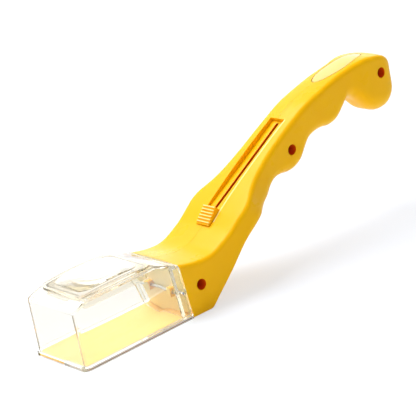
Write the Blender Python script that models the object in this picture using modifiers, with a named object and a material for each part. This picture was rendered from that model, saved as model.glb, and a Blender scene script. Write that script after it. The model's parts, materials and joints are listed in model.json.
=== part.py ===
"""Spider catcher: a clear box with a magnifier in its roof, on a curved two-part handle.

The thumb button on the handle draws a flexible trapdoor back out of the box's floor.
Metres, +Z up. The box's rim lies on z = 0, +X runs from the box to the butt of the handle,
and the plane y = 0 is the handle's parting plane. Stations are measured from the box's front.
"""

import math

import bmesh
import bpy
import numpy as np
from mathutils import Matrix, Vector
from mathutils.bvhtree import BVHTree

# Fits
GAP = 0.0003
PARTING_GAP = 0.00015
OVERRUN = 0.003
WELD = 0.00001
ROUND_SEGMENTS = 24

# Capture box
BOX_LENGTH = 0.0952
RIM_HALF_WIDTH = 0.0315
RIM_FRONT_OVERHANG = 0.0019
RIM_SIDE_OVERHANG = 0.0020
RIM_CORNER_RADIUS = 0.0055
BOX_WALL = 0.0018
BOX_ROOF_HEIGHT = 0.0473
FRONT_DROP = 0.0039
REAR_DROP = 0.0063
FRONT_LEAN = 0.0006
REAR_LEAN = 0.0024
SIDE_DRAFT = 0.0006
FRONT_CHAMFER_LENGTH = 0.0133
ROOF_SLOPE_LENGTH = 0.0171
BOX_EDGE_RADIUS = 0.0024
CAVITY_EDGE_RADIUS = 0.0012
FOOT_FLANGE_THICKNESS = 0.0012
REAR_WALL_THICKNESS = 0.0018
REAR_FLANGE_THICKNESS = 0.0018
REAR_FLARE = 0.0014
REAR_POCKET_LENGTH = 0.0048

# Door rails: the rim under the box, open at the front where the trapdoor's lip passes
RAIL_HEIGHT = 0.0024
RAIL_LIP_THICKNESS = 0.0010
RAIL_LIP_WIDTH = 0.0031
RAIL_FRONT_WIDTH = 0.0055

# Trapdoor, its lip and its strap
SHEET_THICKNESS = 0.0009
SHEET_HALF_WIDTH = 0.0283
SHEET_FRONT = 0.0042
SHEET_TAIL_LENGTH = 0.0097
SHEET_CORNER_RADIUS = 0.003
LIP_LENGTH = 0.0036
LIP_FAR_EDGE = 0.0250
LIP_NEAR_EDGE = -0.0049
STRAP_HALF_WIDTH = 0.005
STRAP_THICKNESS = 0.0008
STRAP_LAP = 0.006
STRAP_ENTRY_SHARE = 0.0751
STRAP_EXIT_SHARE = 0.0459
STRAP_STEPS = 18

# Magnifier frame and lens
FRAME_FRONT_SHARE = 0.1313
FRAME_LENGTH_SHARE = 0.6534
FRAME_HALF_WIDTH = 0.0257
FRAME_CORNER_RADIUS = 0.007
FRAME_END_RISE = 0.0012
FRAME_ARCH_RISE = 0.0032
FRAME_OVERLAP = 0.0025
FRAME_STEPS = 14
SKIRT_THICKNESS = 0.0014
SKIRT_DEPTH = 0.0078
SKIRT_LAP = 0.0009
SKIRT_CORNER_RADIUS = 0.0045
LENS_LENGTH_SHARE = 0.791
LENS_HALF_WIDTH = 0.0199
LENS_CORNER_RADIUS = 0.008
LENS_SEAT_RISE = 0.0017
LENS_DOME_RISE = 0.0052
LENS_END_SAG = 0.0022
LENS_SIDE_SAG = 0.0012
LEDGE_WIDTH = 0.0012
RING_SHARES = (0.35, 0.7, 1.0)

# Cross pin between box and handle
PIN_RADIUS = 0.0011
PIN_HEIGHT = 0.020
PIN_SETBACK = 0.0018
LUG_NEAR = 0.012
LUG_WIDTH = 0.005
LUG_MARGIN = 0.0022

# Handle
HANDLE_LENGTH = 0.2396
HANDLE_HEIGHT = 0.1217
NECK_HALF_WIDTH = 0.0315
HANDLE_WALL = 0.0024
CROWN = 0.0010
MAIN_STATIONS = 50
BUTT_STATIONS = 9
BUTT_TURN_DEG = 86.0
BUTT_START_SHARE = 0.885
BUTT_MIDDLE_SHARE = 0.816
TOP_POWER = 4.0
UNDER_POWER = 3.0
SIDE_POWER = 5.0
LARGEST_RADIUS_SHARE = 0.42

# Outline of the handle: shares of its length, then of its height
TOP_SHARES = (
    (-0.012, 0.344), (0.029, 0.326), (0.064, 0.316), (0.100, 0.316), (0.130, 0.331),
    (0.156, 0.355), (0.188, 0.388), (0.234, 0.455), (0.298, 0.538), (0.383, 0.640),
    (0.537, 0.808), (0.606, 0.874), (0.688, 0.926), (0.749, 0.957), (0.811, 0.979),
    (0.885, 0.998), (0.937, 0.986), (1.010, 0.966),
)
UNDER_SHARES = (
    (0.000, 0.000), (0.074, 0.000), (0.108, 0.055), (0.167, 0.150), (0.245, 0.284),
    (0.291, 0.342), (0.342, 0.388), (0.370, 0.419), (0.398, 0.442), (0.425, 0.486),
    (0.453, 0.513), (0.479, 0.516), (0.517, 0.507), (0.547, 0.516), (0.573, 0.545),
    (0.595, 0.598), (0.614, 0.640), (0.644, 0.668), (0.678, 0.676), (0.712, 0.670),
    (0.746, 0.687), (0.773, 0.730), (0.800, 0.780), (0.822, 0.776), (0.845, 0.745),
    (0.866, 0.699), (0.885, 0.660), (0.907, 0.634), (0.950, 0.611), (1.000, 0.590),
)
# Half-width along the handle: shares of its length, then of the neck's half-width
WIDTH_SHARES = (
    (0.000, 0.939), (0.126, 0.964), (0.200, 0.977), (0.258, 0.988), (0.288, 0.999),
    (0.314, 0.973), (0.336, 0.914), (0.355, 0.829), (0.393, 0.698), (0.468, 0.570),
    (0.543, 0.526), (0.630, 0.508), (0.727, 0.490), (0.800, 0.472), (0.825, 0.477),
    (0.850, 0.505), (0.896, 0.518), (0.944, 0.506), (1.000, 0.490),
)
# How much wider the neck is at its foot than at its top, in the same shares
FLARE_SHARES = ((0.000, 0.043), (0.150, 0.035), (0.288, 0.028), (0.370, 0.000), (1.000, 0.000))
# How far each section's top stands in front of its foot, in shares of the length
LEAN_SHARES = (
    (0.000, 0.0099), (0.051, 0.004), (0.145, -0.002), (0.201, 0.006), (0.314, 0.042),
    (0.483, 0.055), (0.614, 0.039), (0.746, 0.022), (0.802, -0.002), (0.896, -0.002),
    (1.000, 0.000),
)
# Radius of the top and foot edges, in shares of the neck's half-width
TOP_RADIUS_SHARES = ((0.000, 0.100), (0.352, 0.115), (0.539, 0.120), (1.000, 0.115))
FOOT_RADIUS_SHARES = (
    (0.000, 0.044), (0.089, 0.049), (0.183, 0.115), (0.352, 0.248), (0.539, 0.292),
    (0.780, 0.310), (0.860, 0.370), (1.000, 0.390),
)

# Screws and their bosses: places in shares of the handle's length and height
SCREW_SHARES = {
    "front": (0.0520, 0.171),
    "middle": (0.5280, 0.6465),
    "rear": (0.9405, 0.867),
}
SCREW_RECESS_RADIUS = 0.0040
SCREW_RECESS_FLOOR = 0.006
SCREW_HEAD_RADIUS = 0.0028
SCREW_HEAD_HEIGHT = 0.0018
SCREW_SHANK_RADIUS = 0.0013
SCREW_LENGTH = 0.014
SCREW_TIP_LENGTH = 0.0010
CROSS_SLOT_WIDTH = 0.0007
CROSS_SLOT_SPAN = 0.0034
CROSS_SLOT_DEPTH = 0.0008
BOSS_WALL = 0.0013
NUT_BOSS_RADIUS = 0.0034

# The slide's two ends, in shares of the handle's length and height
SLIDE_START_SHARE = (0.21745, 0.42235)
SLIDE_END_SHARE = (0.52440, 0.76425)

# Slot, thumb button and carriage: distances along the slide, rises square to it
BUTTON_HALF_LENGTH = 0.00755
BUTTON_HALF_WIDTH = 0.0072
BUTTON_FRONT_HEIGHT = 0.0018
BUTTON_REAR_HEIGHT = 0.0066
BUTTON_END_SLOPE = 0.0009
BUTTON_TAPER_SHARE = 0.08
RIDGE_COUNT = 6
RIDGE_HEIGHT = 0.0007
RIDGE_SPAN_SHARE = 0.90
RIDGE_CREST_SHARE = 0.40
RIDGE_VALLEY_SHARE = 0.25
RECESS_SIDE_GAP = 0.0004
RECESS_END_GAP = 0.0005
TROUGH_WALL = 0.0017
TROUGH_FLOOR = 0.0016
TROUGH_HEAD = 0.0090
TROUGH_HEIGHT = 0.0096
RECESS_HEIGHT = 0.0144
SLIT_HALF_WIDTH = 0.0014
BLADE_HALF_LENGTH = 0.0055
BLADE_HALF_WIDTH = 0.0011
BARB_HALF_LENGTH = 0.0045
BARB_HALF_WIDTH = 0.0022
BARB_HEIGHT = 0.0010
CARRIAGE_HALF_LENGTH = 0.008
CARRIAGE_HALF_WIDTH = 0.006
CARRIAGE_THICKNESS = 0.0034
TONGUE_LENGTH = 0.007
TONGUE_HALF_WIDTH = 0.005
TONGUE_THICKNESS = 0.0013
RIVET_SHANK_RADIUS = 0.0010
RIVET_HEAD_RADIUS = 0.0021
RIVET_HEAD_HEIGHT = 0.0005
GUIDE_DEPTH = 0.0030

# Guide ribs that keep the sheet near the neck's underside
RIB_THICKNESS = 0.0011
RIB_CLEARANCE = 0.0016
RIB_NEAR = 0.016

# Oval inlay near the butt
INLAY_CENTRE_SHARE = 0.818
INLAY_HALF_LENGTH = 0.0246
INLAY_HALF_WIDTH = 0.0093
INLAY_THICKNESS = 0.0012
INLAY_GROOVE = 0.0004
INLAY_SEGMENTS = 48

OVERALL_LENGTH = BOX_LENGTH + GAP + HANDLE_LENGTH
HANDLE_START = BOX_LENGTH + GAP
BOX_FOOT = RAIL_HEIGHT + GAP
SHEET_LOW = RAIL_LIP_THICKNESS + GAP
SHEET_HIGH = SHEET_LOW + SHEET_THICKNESS
FRAME_FRONT = FRAME_FRONT_SHARE * BOX_LENGTH
FRAME_LENGTH = FRAME_LENGTH_SHARE * BOX_LENGTH
FRAME_REAR = FRAME_FRONT + FRAME_LENGTH
LENS_HALF_LENGTH = LENS_LENGTH_SHARE * FRAME_LENGTH / 2
BOX_FRONT_HEIGHT = BOX_ROOF_HEIGHT - FRONT_DROP
BOX_REAR_HEIGHT = BOX_ROOF_HEIGHT - REAR_DROP
ROOF_START = RIM_FRONT_OVERHANG + FRONT_LEAN + FRONT_CHAMFER_LENGTH
ROOF_END = BOX_LENGTH - REAR_LEAN - ROOF_SLOPE_LENGTH
SLIDE_STATION = HANDLE_START + SLIDE_START_SHARE[0] * HANDLE_LENGTH
SLIDE_HEIGHT = SLIDE_START_SHARE[1] * HANDLE_HEIGHT
SLIDE_RUN = (SLIDE_END_SHARE[0] - SLIDE_START_SHARE[0]) * HANDLE_LENGTH
SLIDE_CLIMB = (SLIDE_END_SHARE[1] - SLIDE_START_SHARE[1]) * HANDLE_HEIGHT
SLIDE_ANGLE = math.atan2(SLIDE_CLIMB, SLIDE_RUN)
TRAVEL = math.hypot(SLIDE_RUN, SLIDE_CLIMB)


def x_of(station):
    """World x of a station: the origin is under the middle of the whole tool."""
    return station - OVERALL_LENGTH / 2


def spot(station, y, height):
    return Vector((x_of(station), y, height))


def slide_spot(distance, rise):
    """World place of a point in the slide's own frame, on the parting plane."""
    along = Vector((math.cos(SLIDE_ANGLE), 0, math.sin(SLIDE_ANGLE)))
    square = Vector((-math.sin(SLIDE_ANGLE), 0, math.cos(SLIDE_ANGLE)))
    return spot(SLIDE_STATION, 0, SLIDE_HEIGHT) + along * distance + square * rise


# Materials


def plastic(name, color, roughness, transmission=0.0, ior=1.5, metallic=0.0):
    material = bpy.data.materials.new(name)
    material.use_nodes = True
    shader = material.node_tree.nodes["Principled BSDF"]
    shader.inputs["Base Color"].default_value = (*color, 1.0)
    shader.inputs["Roughness"].default_value = roughness
    shader.inputs["Transmission Weight"].default_value = transmission
    shader.inputs["IOR"].default_value = ior
    shader.inputs["Metallic"].default_value = metallic
    material.diffuse_color = (*color, 1.0)
    return material


def clear_styrene(name):
    return plastic(name, (0.94, 0.95, 0.94), 0.05, transmission=1.0, ior=1.59)


def yellow_abs(name):
    return plastic(name, (0.86, 0.50, 0.01), 0.32)


def clear_acrylic(name):
    return plastic(name, (0.95, 0.96, 0.95), 0.03, transmission=1.0, ior=1.49)


def white_acetal(name):
    return plastic(name, (0.79, 0.79, 0.71), 0.45)


def lemon_sheet(name):
    return plastic(name, (1.0, 0.87, 0.30), 0.40)


def steel(name):
    return plastic(name, (0.55, 0.55, 0.56), 0.35, metallic=1.0)


def aluminium(name):
    return plastic(name, (0.75, 0.75, 0.76), 0.40, metallic=1.0)


# Building blocks


def collection(name):
    found = bpy.data.collections.new(name)
    bpy.context.scene.collection.children.link(found)
    return found


def add(name, mesh, group, material=None):
    made = bpy.data.objects.new(name, mesh)
    group.objects.link(made)
    if material:
        mesh.materials.append(material)
    return made


def cutter(name, mesh):
    made = add(name, mesh, CUTTERS)
    made.hide_render = True
    made.display_type = "WIRE"
    return made


def smooth_shade(mesh, angle_deg=35.0):
    mesh.shade_smooth()
    mesh.set_sharp_from_angle(angle=math.radians(angle_deg))


def block_mesh(name, low, high):
    """A cube stretched between two corners."""
    low = Vector(low)
    high = Vector(high)
    shape = bmesh.new()
    bmesh.ops.create_cube(shape, size=1.0)
    bmesh.ops.scale(shape, vec=high - low, verts=shape.verts)
    bmesh.ops.translate(shape, vec=(low + high) / 2, verts=shape.verts)
    mesh = bpy.data.meshes.new(name)
    shape.to_mesh(mesh)
    shape.free()
    return mesh


def rod_mesh(name, radius, low_y, high_y, station, height, segments=ROUND_SEGMENTS):
    """A round rod along Y."""
    shape = bmesh.new()
    bmesh.ops.create_cone(
        shape,
        cap_ends=True,
        segments=segments,
        radius1=radius,
        radius2=radius,
        depth=high_y - low_y,
    )
    bmesh.ops.rotate(
        shape, matrix=Matrix.Rotation(math.radians(90), 3, "X"), verts=shape.verts
    )
    middle = spot(station, (low_y + high_y) / 2, height)
    bmesh.ops.translate(shape, vec=middle, verts=shape.verts)
    mesh = bpy.data.meshes.new(name)
    shape.to_mesh(mesh)
    shape.free()
    smooth_shade(mesh)
    return mesh


def outline_mesh(name, points, low, high, side_view=False):
    """A flat outline given thickness: from z low to high, or, seen from the side, from y low to high."""
    data = bpy.data.curves.new(name, "CURVE")
    data.dimensions = "2D"
    data.fill_mode = "BOTH"
    data.extrude = (high - low) / 2
    spline = data.splines.new("POLY")
    spline.points.add(len(points) - 1)
    for point, (across, up) in zip(spline.points, points):
        point.co = (across, up, 0, 1)
    spline.use_cyclic_u = True
    curve = bpy.data.objects.new(name + "_curve", data)
    if side_view:
        curve.rotation_euler = (math.radians(90), 0, 0)
        curve.location = (0, (low + high) / 2, 0)
    else:
        curve.location = (0, 0, (low + high) / 2)
    CUTTERS.objects.link(curve)
    bpy.context.view_layer.update()
    seen = curve.evaluated_get(bpy.context.evaluated_depsgraph_get())
    mesh = bpy.data.meshes.new_from_object(seen)
    mesh.transform(curve.matrix_world)
    bpy.data.objects.remove(curve)
    shape = bmesh.new()
    shape.from_mesh(mesh)
    bmesh.ops.remove_doubles(shape, verts=shape.verts, dist=WELD)
    bmesh.ops.recalc_face_normals(shape, faces=shape.faces)
    shape.to_mesh(mesh)
    shape.free()
    mesh.name = name
    return mesh


def hull_mesh(name, corners, foot=None):
    """The convex solid round some corners. Edges that touch the foot's level stay sharp when bevelled."""
    shape = bmesh.new()
    for corner in corners:
        shape.verts.new(corner)
    bmesh.ops.convex_hull(shape, input=shape.verts)
    flat = math.radians(1.0)
    bmesh.ops.dissolve_limit(
        shape, angle_limit=flat, verts=shape.verts, edges=shape.edges
    )
    bmesh.ops.recalc_face_normals(shape, faces=shape.faces)
    weights = shape.edges.layers.float.new("bevel_weight_edge")
    for edge in shape.edges:
        on_foot = foot is not None and all(v.co.z < foot + GAP for v in edge.verts)
        edge[weights] = 0.0 if on_foot else 1.0
    mesh = bpy.data.meshes.new(name)
    shape.to_mesh(mesh)
    shape.free()
    return mesh


def rounded_rectangle(low, high, half_width, low_radius, high_radius, steps=6):
    """Plan outline from one station to another, with its own corner radius at each end."""
    corners = (
        (high, half_width, high_radius, 0),
        (low, half_width, low_radius, 90),
        (low, -half_width, low_radius, 180),
        (high, -half_width, high_radius, 270),
    )
    points = []
    for station, y, radius, start in corners:
        inward = -1 if station == high else 1
        centre_x = x_of(station) + inward * radius
        centre_y = y - math.copysign(radius, y)
        count = steps if radius > 0 else 0
        for i in range(count + 1):
            angle = math.radians(start + 90 * i / max(count, 1))
            points.append(
                (
                    centre_x + radius * math.cos(angle),
                    centre_y + radius * math.sin(angle),
                )
            )
    return points


def boolean(target, tool, operation="DIFFERENCE"):
    modifier = target.modifiers.new(tool.name, "BOOLEAN")
    modifier.operation = operation
    modifier.solver = "EXACT"
    modifier.object = tool


def bevel(target, width, segments=2, weighted=False, angle_deg=40.0):
    modifier = target.modifiers.new("rounded edges", "BEVEL")
    modifier.width = width
    modifier.segments = segments
    modifier.limit_method = "WEIGHT" if weighted else "ANGLE"
    modifier.angle_limit = math.radians(angle_deg)


def on_slide(thing):
    """Places a piece modelled in the slide's own frame."""
    thing.location = slide_spot(0, 0)
    thing.rotation_euler = (0, -SLIDE_ANGLE, 0)
    return thing


# Capture box


def wall_half_width(height):
    """Outer half-width of the box's drafted side wall at a height."""
    climb = (height - BOX_FOOT) / (BOX_ROOF_HEIGHT - BOX_FOOT)
    return RIM_HALF_WIDTH - RIM_SIDE_OVERHANG - SIDE_DRAFT * climb


def rear_station(station, height):
    """A station on a plane that leans forward with the box's rear."""
    return station - REAR_LEAN * height / BOX_REAR_HEIGHT


def roof_height(station):
    """Height of the box's top, along its front chamfer, level roof and rear slope."""
    ends = RIM_FRONT_OVERHANG + FRONT_LEAN, BOX_LENGTH - REAR_LEAN
    return float(
        np.interp(
            station,
            (ends[0], ROOF_START, ROOF_END, ends[1]),
            (BOX_FRONT_HEIGHT, BOX_ROOF_HEIGHT, BOX_ROOF_HEIGHT, BOX_REAR_HEIGHT),
        )
    )


def box_corners(wall, rear, foot):
    """Corners of the box's outside, or of its inside where a wall is given."""
    front_top = RIM_FRONT_OVERHANG + FRONT_LEAN
    rear_top_height = roof_height(rear_station(rear, BOX_REAR_HEIGHT))
    side_view = (
        (RIM_FRONT_OVERHANG + wall, foot),
        (front_top + wall, BOX_FRONT_HEIGHT - wall),
        (ROOF_START + wall / 2, BOX_ROOF_HEIGHT - wall),
        (ROOF_END - wall / 2, BOX_ROOF_HEIGHT - wall),
        (rear_station(rear, rear_top_height), rear_top_height - wall),
        (rear_station(rear, foot), foot),
    )
    return [
        spot(station, side * (wall_half_width(height) - wall), height)
        for station, height in side_view
        for side in (-1, 1)
    ]


def make_capture_box(group):
    pocket_start = BOX_LENGTH - REAR_POCKET_LENGTH
    shell = hull_mesh("capture_box", box_corners(0, BOX_LENGTH, BOX_FOOT), BOX_FOOT)
    box = add("capture_box", shell, group, clear_styrene("clear styrene box"))
    bevel(box, BOX_EDGE_RADIUS, segments=3, weighted=True)

    rim = rounded_rectangle(0, BOX_LENGTH, RIM_HALF_WIDTH, RIM_CORNER_RADIUS, 0)
    top = BOX_FOOT + FOOT_FLANGE_THICKNESS
    flange = cutter("foot_flange_blank", outline_mesh("foot_flange", rim, BOX_FOOT, top))
    trim = block_mesh(
        "rim_trim",
        spot(rear_station(BOX_LENGTH, top), -RIM_HALF_WIDTH - OVERRUN, 0),
        spot(BOX_LENGTH + OVERRUN, RIM_HALF_WIDTH + OVERRUN, BOX_ROOF_HEIGHT),
    )
    boolean(flange, cutter("rim_trim", trim))
    boolean(box, flange, "UNION")

    flare = REAR_FLARE + SIDE_DRAFT
    ring = [
        spot(rear_station(station, height), side * (wall_half_width(height) + out), height)
        for station in (BOX_LENGTH - REAR_FLANGE_THICKNESS, BOX_LENGTH)
        for height, out in ((BOX_FOOT, flare), (BOX_REAR_HEIGHT, 0))
        for side in (-1, 1)
    ]
    boolean(box, cutter("rear_flange_blank", hull_mesh("rear_flange", ring)), "UNION")

    below = BOX_FOOT - OVERRUN
    inside = box_corners(BOX_WALL, pocket_start - REAR_WALL_THICKNESS, below)
    hollow = cutter("box_hollow", hull_mesh("box_hollow", inside))
    bevel(hollow, CAVITY_EDGE_RADIUS)
    boolean(box, hollow)

    pocket_corners = []
    for height in (below, BOX_REAR_HEIGHT - BOX_WALL):
        for station in (pocket_start, BOX_LENGTH + OVERRUN):
            for side in (-1, 1):
                half = wall_half_width(height) - BOX_WALL
                pocket_corners.append(
                    spot(rear_station(station, height), side * half, height)
                )
    boolean(box, cutter("rear_pocket", hull_mesh("rear_pocket", pocket_corners)))

    opening = rounded_rectangle(
        FRAME_FRONT + FRAME_OVERLAP,
        FRAME_REAR - FRAME_OVERLAP,
        FRAME_HALF_WIDTH - FRAME_OVERLAP,
        SKIRT_CORNER_RADIUS,
        SKIRT_CORNER_RADIUS,
    )
    window = outline_mesh(
        "roof_opening",
        opening,
        roof_height(FRAME_REAR) - BOX_WALL - OVERRUN,
        BOX_ROOF_HEIGHT + OVERRUN,
    )
    boolean(box, cutter("roof_opening", window))
    boolean(box, PIN_HOLE)
    return box


def make_door_rail(name, low_y, high_y, group):
    """One of the two rails that hold the trapdoor: the part of the whole rim between two edges."""
    rim = rounded_rectangle(0, BOX_LENGTH, RIM_HALF_WIDTH, RIM_CORNER_RADIUS, 0)
    mesh = outline_mesh(name, rim, 0, RAIL_HEIGHT)
    rail = add(name, mesh, group, clear_styrene("clear styrene " + name))
    groove_half = SHEET_HALF_WIDTH + GAP
    groove = block_mesh(
        "groove",
        spot(SHEET_FRONT - GAP, -groove_half, RAIL_LIP_THICKNESS),
        spot(BOX_LENGTH + OVERRUN, groove_half, RAIL_HEIGHT + OVERRUN),
    )
    boolean(rail, cutter("groove_" + name, groove))
    window_half = groove_half - RAIL_LIP_WIDTH
    window = block_mesh(
        "window",
        spot(RAIL_FRONT_WIDTH, -window_half, -OVERRUN),
        spot(BOX_LENGTH + OVERRUN, window_half, RAIL_HEIGHT + OVERRUN),
    )
    boolean(rail, cutter("window_" + name, window))
    keep = block_mesh(
        "reach",
        spot(-OVERRUN, low_y, -OVERRUN),
        spot(BOX_LENGTH + OVERRUN, high_y, RAIL_HEIGHT + OVERRUN),
    )
    boolean(rail, cutter("reach_" + name, keep), "INTERSECT")
    return rail


def make_trapdoor_sheet(group):
    tail_end = HANDLE_START + SHEET_TAIL_LENGTH
    corner = SHEET_CORNER_RADIUS
    plan = rounded_rectangle(SHEET_FRONT, tail_end, SHEET_HALF_WIDTH, 0, corner)
    mesh = outline_mesh("trapdoor_sheet", plan, SHEET_LOW, SHEET_HIGH)
    return add("trapdoor_sheet", mesh, group, lemon_sheet("lemon polypropylene sheet"))


def make_trapdoor_front_lip(group):
    mesh = block_mesh(
        "trapdoor_front_lip",
        spot(SHEET_FRONT - GAP - LIP_LENGTH, LIP_NEAR_EDGE, GAP),
        spot(SHEET_FRONT - GAP, LIP_FAR_EDGE, SHEET_HIGH),
    )
    lip = add("trapdoor_front_lip", mesh, group, lemon_sheet("lemon polypropylene lip"))
    bevel(lip, GAP)
    return lip


# Magnifier


def frame_top(station):
    """Height of the frame's arched top: a circular arc along the box."""
    half = FRAME_LENGTH / 2
    rise = FRAME_ARCH_RISE - FRAME_END_RISE
    radius = (half * half + rise * rise) / (2 * rise)
    offset = station - FRAME_FRONT - half
    crest = BOX_ROOF_HEIGHT + FRAME_ARCH_RISE
    return crest - radius + math.sqrt(radius * radius - offset * offset)


def make_lens_frame(group):
    shares = np.linspace(0, 1, FRAME_STEPS + 1)
    stations = [FRAME_FRONT + FRAME_LENGTH * float(share) for share in shares]
    bends = [s for s in (ROOF_START, ROOF_END) if FRAME_FRONT < s < FRAME_REAR]
    top_line = [(x_of(s), frame_top(s)) for s in reversed(stations)]
    base_line = [
        (x_of(s), roof_height(s) + GAP) for s in (FRAME_FRONT, *bends, FRAME_REAR)
    ]
    slab = outline_mesh(
        "lens_frame",
        top_line + base_line,
        -FRAME_HALF_WIDTH - OVERRUN,
        FRAME_HALF_WIDTH + OVERRUN,
        side_view=True,
    )
    frame = add("lens_frame", slab, group, clear_styrene("clear styrene frame"))
    corner = FRAME_CORNER_RADIUS
    plan = rounded_rectangle(FRAME_FRONT, FRAME_REAR, FRAME_HALF_WIDTH, corner, corner)
    low = BOX_ROOF_HEIGHT - SKIRT_DEPTH
    high = BOX_ROOF_HEIGHT + LENS_DOME_RISE + OVERRUN
    trim = cutter("frame_plan", outline_mesh("frame_plan", plan, low, high))
    boolean(frame, trim, "INTERSECT")

    inset = FRAME_OVERLAP + GAP
    skirt_plan = rounded_rectangle(
        FRAME_FRONT + inset,
        FRAME_REAR - inset,
        FRAME_HALF_WIDTH - inset,
        SKIRT_CORNER_RADIUS,
        SKIRT_CORNER_RADIUS,
    )
    skirt = outline_mesh("skirt_blank", skirt_plan, low, BOX_ROOF_HEIGHT + SKIRT_LAP)
    boolean(frame, cutter("skirt_blank", skirt), "UNION")

    inner = inset + SKIRT_THICKNESS
    inner_radius = SKIRT_CORNER_RADIUS - SKIRT_THICKNESS
    hollow_plan = rounded_rectangle(
        FRAME_FRONT + inner,
        FRAME_REAR - inner,
        FRAME_HALF_WIDTH - inner,
        inner_radius,
        inner_radius,
    )
    hollow = outline_mesh("skirt_hollow", hollow_plan, low - OVERRUN, BOX_ROOF_HEIGHT)
    boolean(frame, cutter("skirt_hollow", hollow))
    seat_floor = BOX_ROOF_HEIGHT + LENS_SEAT_RISE - GAP
    seat = outline_mesh("lens_seat", lens_plan(GAP), seat_floor, high)
    boolean(frame, cutter("lens_seat", seat))
    hole = outline_mesh("lens_hole", lens_plan(-LEDGE_WIDTH), low - OVERRUN, high)
    boolean(frame, cutter("lens_hole", hole))
    return frame


def lens_plan(grow):
    """Outline of the lens, grown or shrunk."""
    centre = FRAME_FRONT + FRAME_LENGTH / 2
    return rounded_rectangle(
        centre - LENS_HALF_LENGTH - grow,
        centre + LENS_HALF_LENGTH + grow,
        LENS_HALF_WIDTH + grow,
        LENS_CORNER_RADIUS + grow,
        LENS_CORNER_RADIUS + grow,
    )


def ringed_plate(name, outline, middle_x, top, base):
    """A plate whose two faces follow heights over the plan: rings of its outline drawn in to a centre."""
    offsets = np.array(outline) - np.array((middle_x, 0))
    shape = bmesh.new()
    faces = []
    for height in (top, base):
        centre = shape.verts.new((middle_x, 0, height(middle_x, 0)))
        rings = []
        for share in RING_SHARES:
            places = [(middle_x + x, y) for x, y in offsets * share]
            rings.append([shape.verts.new((x, y, height(x, y))) for x, y in places])
        for i in range(len(offsets)):
            after = (i + 1) % len(offsets)
            shape.faces.new((centre, rings[0][i], rings[0][after]))
            for inner, outer in zip(rings, rings[1:]):
                shape.faces.new((inner[i], outer[i], outer[after], inner[after]))
        faces.append(rings[-1])
    for i in range(len(offsets)):
        after = (i + 1) % len(offsets)
        shape.faces.new((faces[0][i], faces[1][i], faces[1][after], faces[0][after]))
    bmesh.ops.recalc_face_normals(shape, faces=shape.faces)
    mesh = bpy.data.meshes.new(name)
    shape.to_mesh(mesh)
    shape.free()
    smooth_shade(mesh)
    return mesh


def make_magnifier_lens(group):
    """A plano-convex lens: flat below, domed above."""
    middle_x = x_of(FRAME_FRONT + FRAME_LENGTH / 2)
    base = BOX_ROOF_HEIGHT + LENS_SEAT_RISE
    crest = BOX_ROOF_HEIGHT + LENS_DOME_RISE

    def dome(x, y):
        ends = LENS_END_SAG * ((x - middle_x) / LENS_HALF_LENGTH) ** 2
        sides = LENS_SIDE_SAG * (y / LENS_HALF_WIDTH) ** 2
        return crest - ends - sides

    mesh = ringed_plate(
        "magnifier_lens", lens_plan(0), middle_x, dome, lambda x, y: base
    )
    return add("magnifier_lens", mesh, group, clear_acrylic("clear acrylic lens"))


# Handle body


def smooth(shares, at):
    """Cubic curve through a table of shares, read at an array of places."""
    places, values = np.array(shares).T
    slopes = np.gradient(values, places)
    i = np.clip(np.searchsorted(places, at) - 1, 0, len(places) - 2)
    step = places[i + 1] - places[i]
    t = (at - places[i]) / step
    rise = values[i + 1] - values[i]
    ease = t * t * (3 - 2 * t)
    lead = t * (1 - t) ** 2 * step * slopes[i]
    trail = t * t * (t - 1) * step * slopes[i + 1]
    return values[i] + rise * ease + lead + trail


def arc(centre_y, centre_k, radius, start_deg, end_deg, count=5):
    angles = np.radians(np.linspace(start_deg, end_deg, count))
    return centre_y + radius * np.cos(angles), centre_k + radius * np.sin(angles)


def half_section(half_top, half_foot, height, top_radius, foot_radius, crown):
    """Half of each section, from its top middle round to its foot middle: y and rise, one row a station."""
    flat = half_top - top_radius
    shoulder = height - crown * (flat / half_top) ** 2
    across = np.linspace(0, 1, 4, endpoint=False)[None, :] * flat
    top = across, height - crown * (across / half_top) ** 2
    upper = arc(flat, shoulder - top_radius, top_radius, 90, 0)
    lower = arc(half_foot - foot_radius, foot_radius, foot_radius, 0, -90)
    mid_y = (upper[0][:, -1:] + lower[0][:, :1]) / 2
    mid_k = (upper[1][:, -1:] + lower[1][:, :1]) / 2
    inward = np.linspace(1, 0, 4)[None, 1:] * (half_foot - foot_radius)
    foot = inward, np.zeros_like(inward)
    rows = [top, upper, (mid_y, mid_k), lower, foot]
    return np.hstack([r[0] for r in rows]), np.hstack([r[1] for r in rows])


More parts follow.
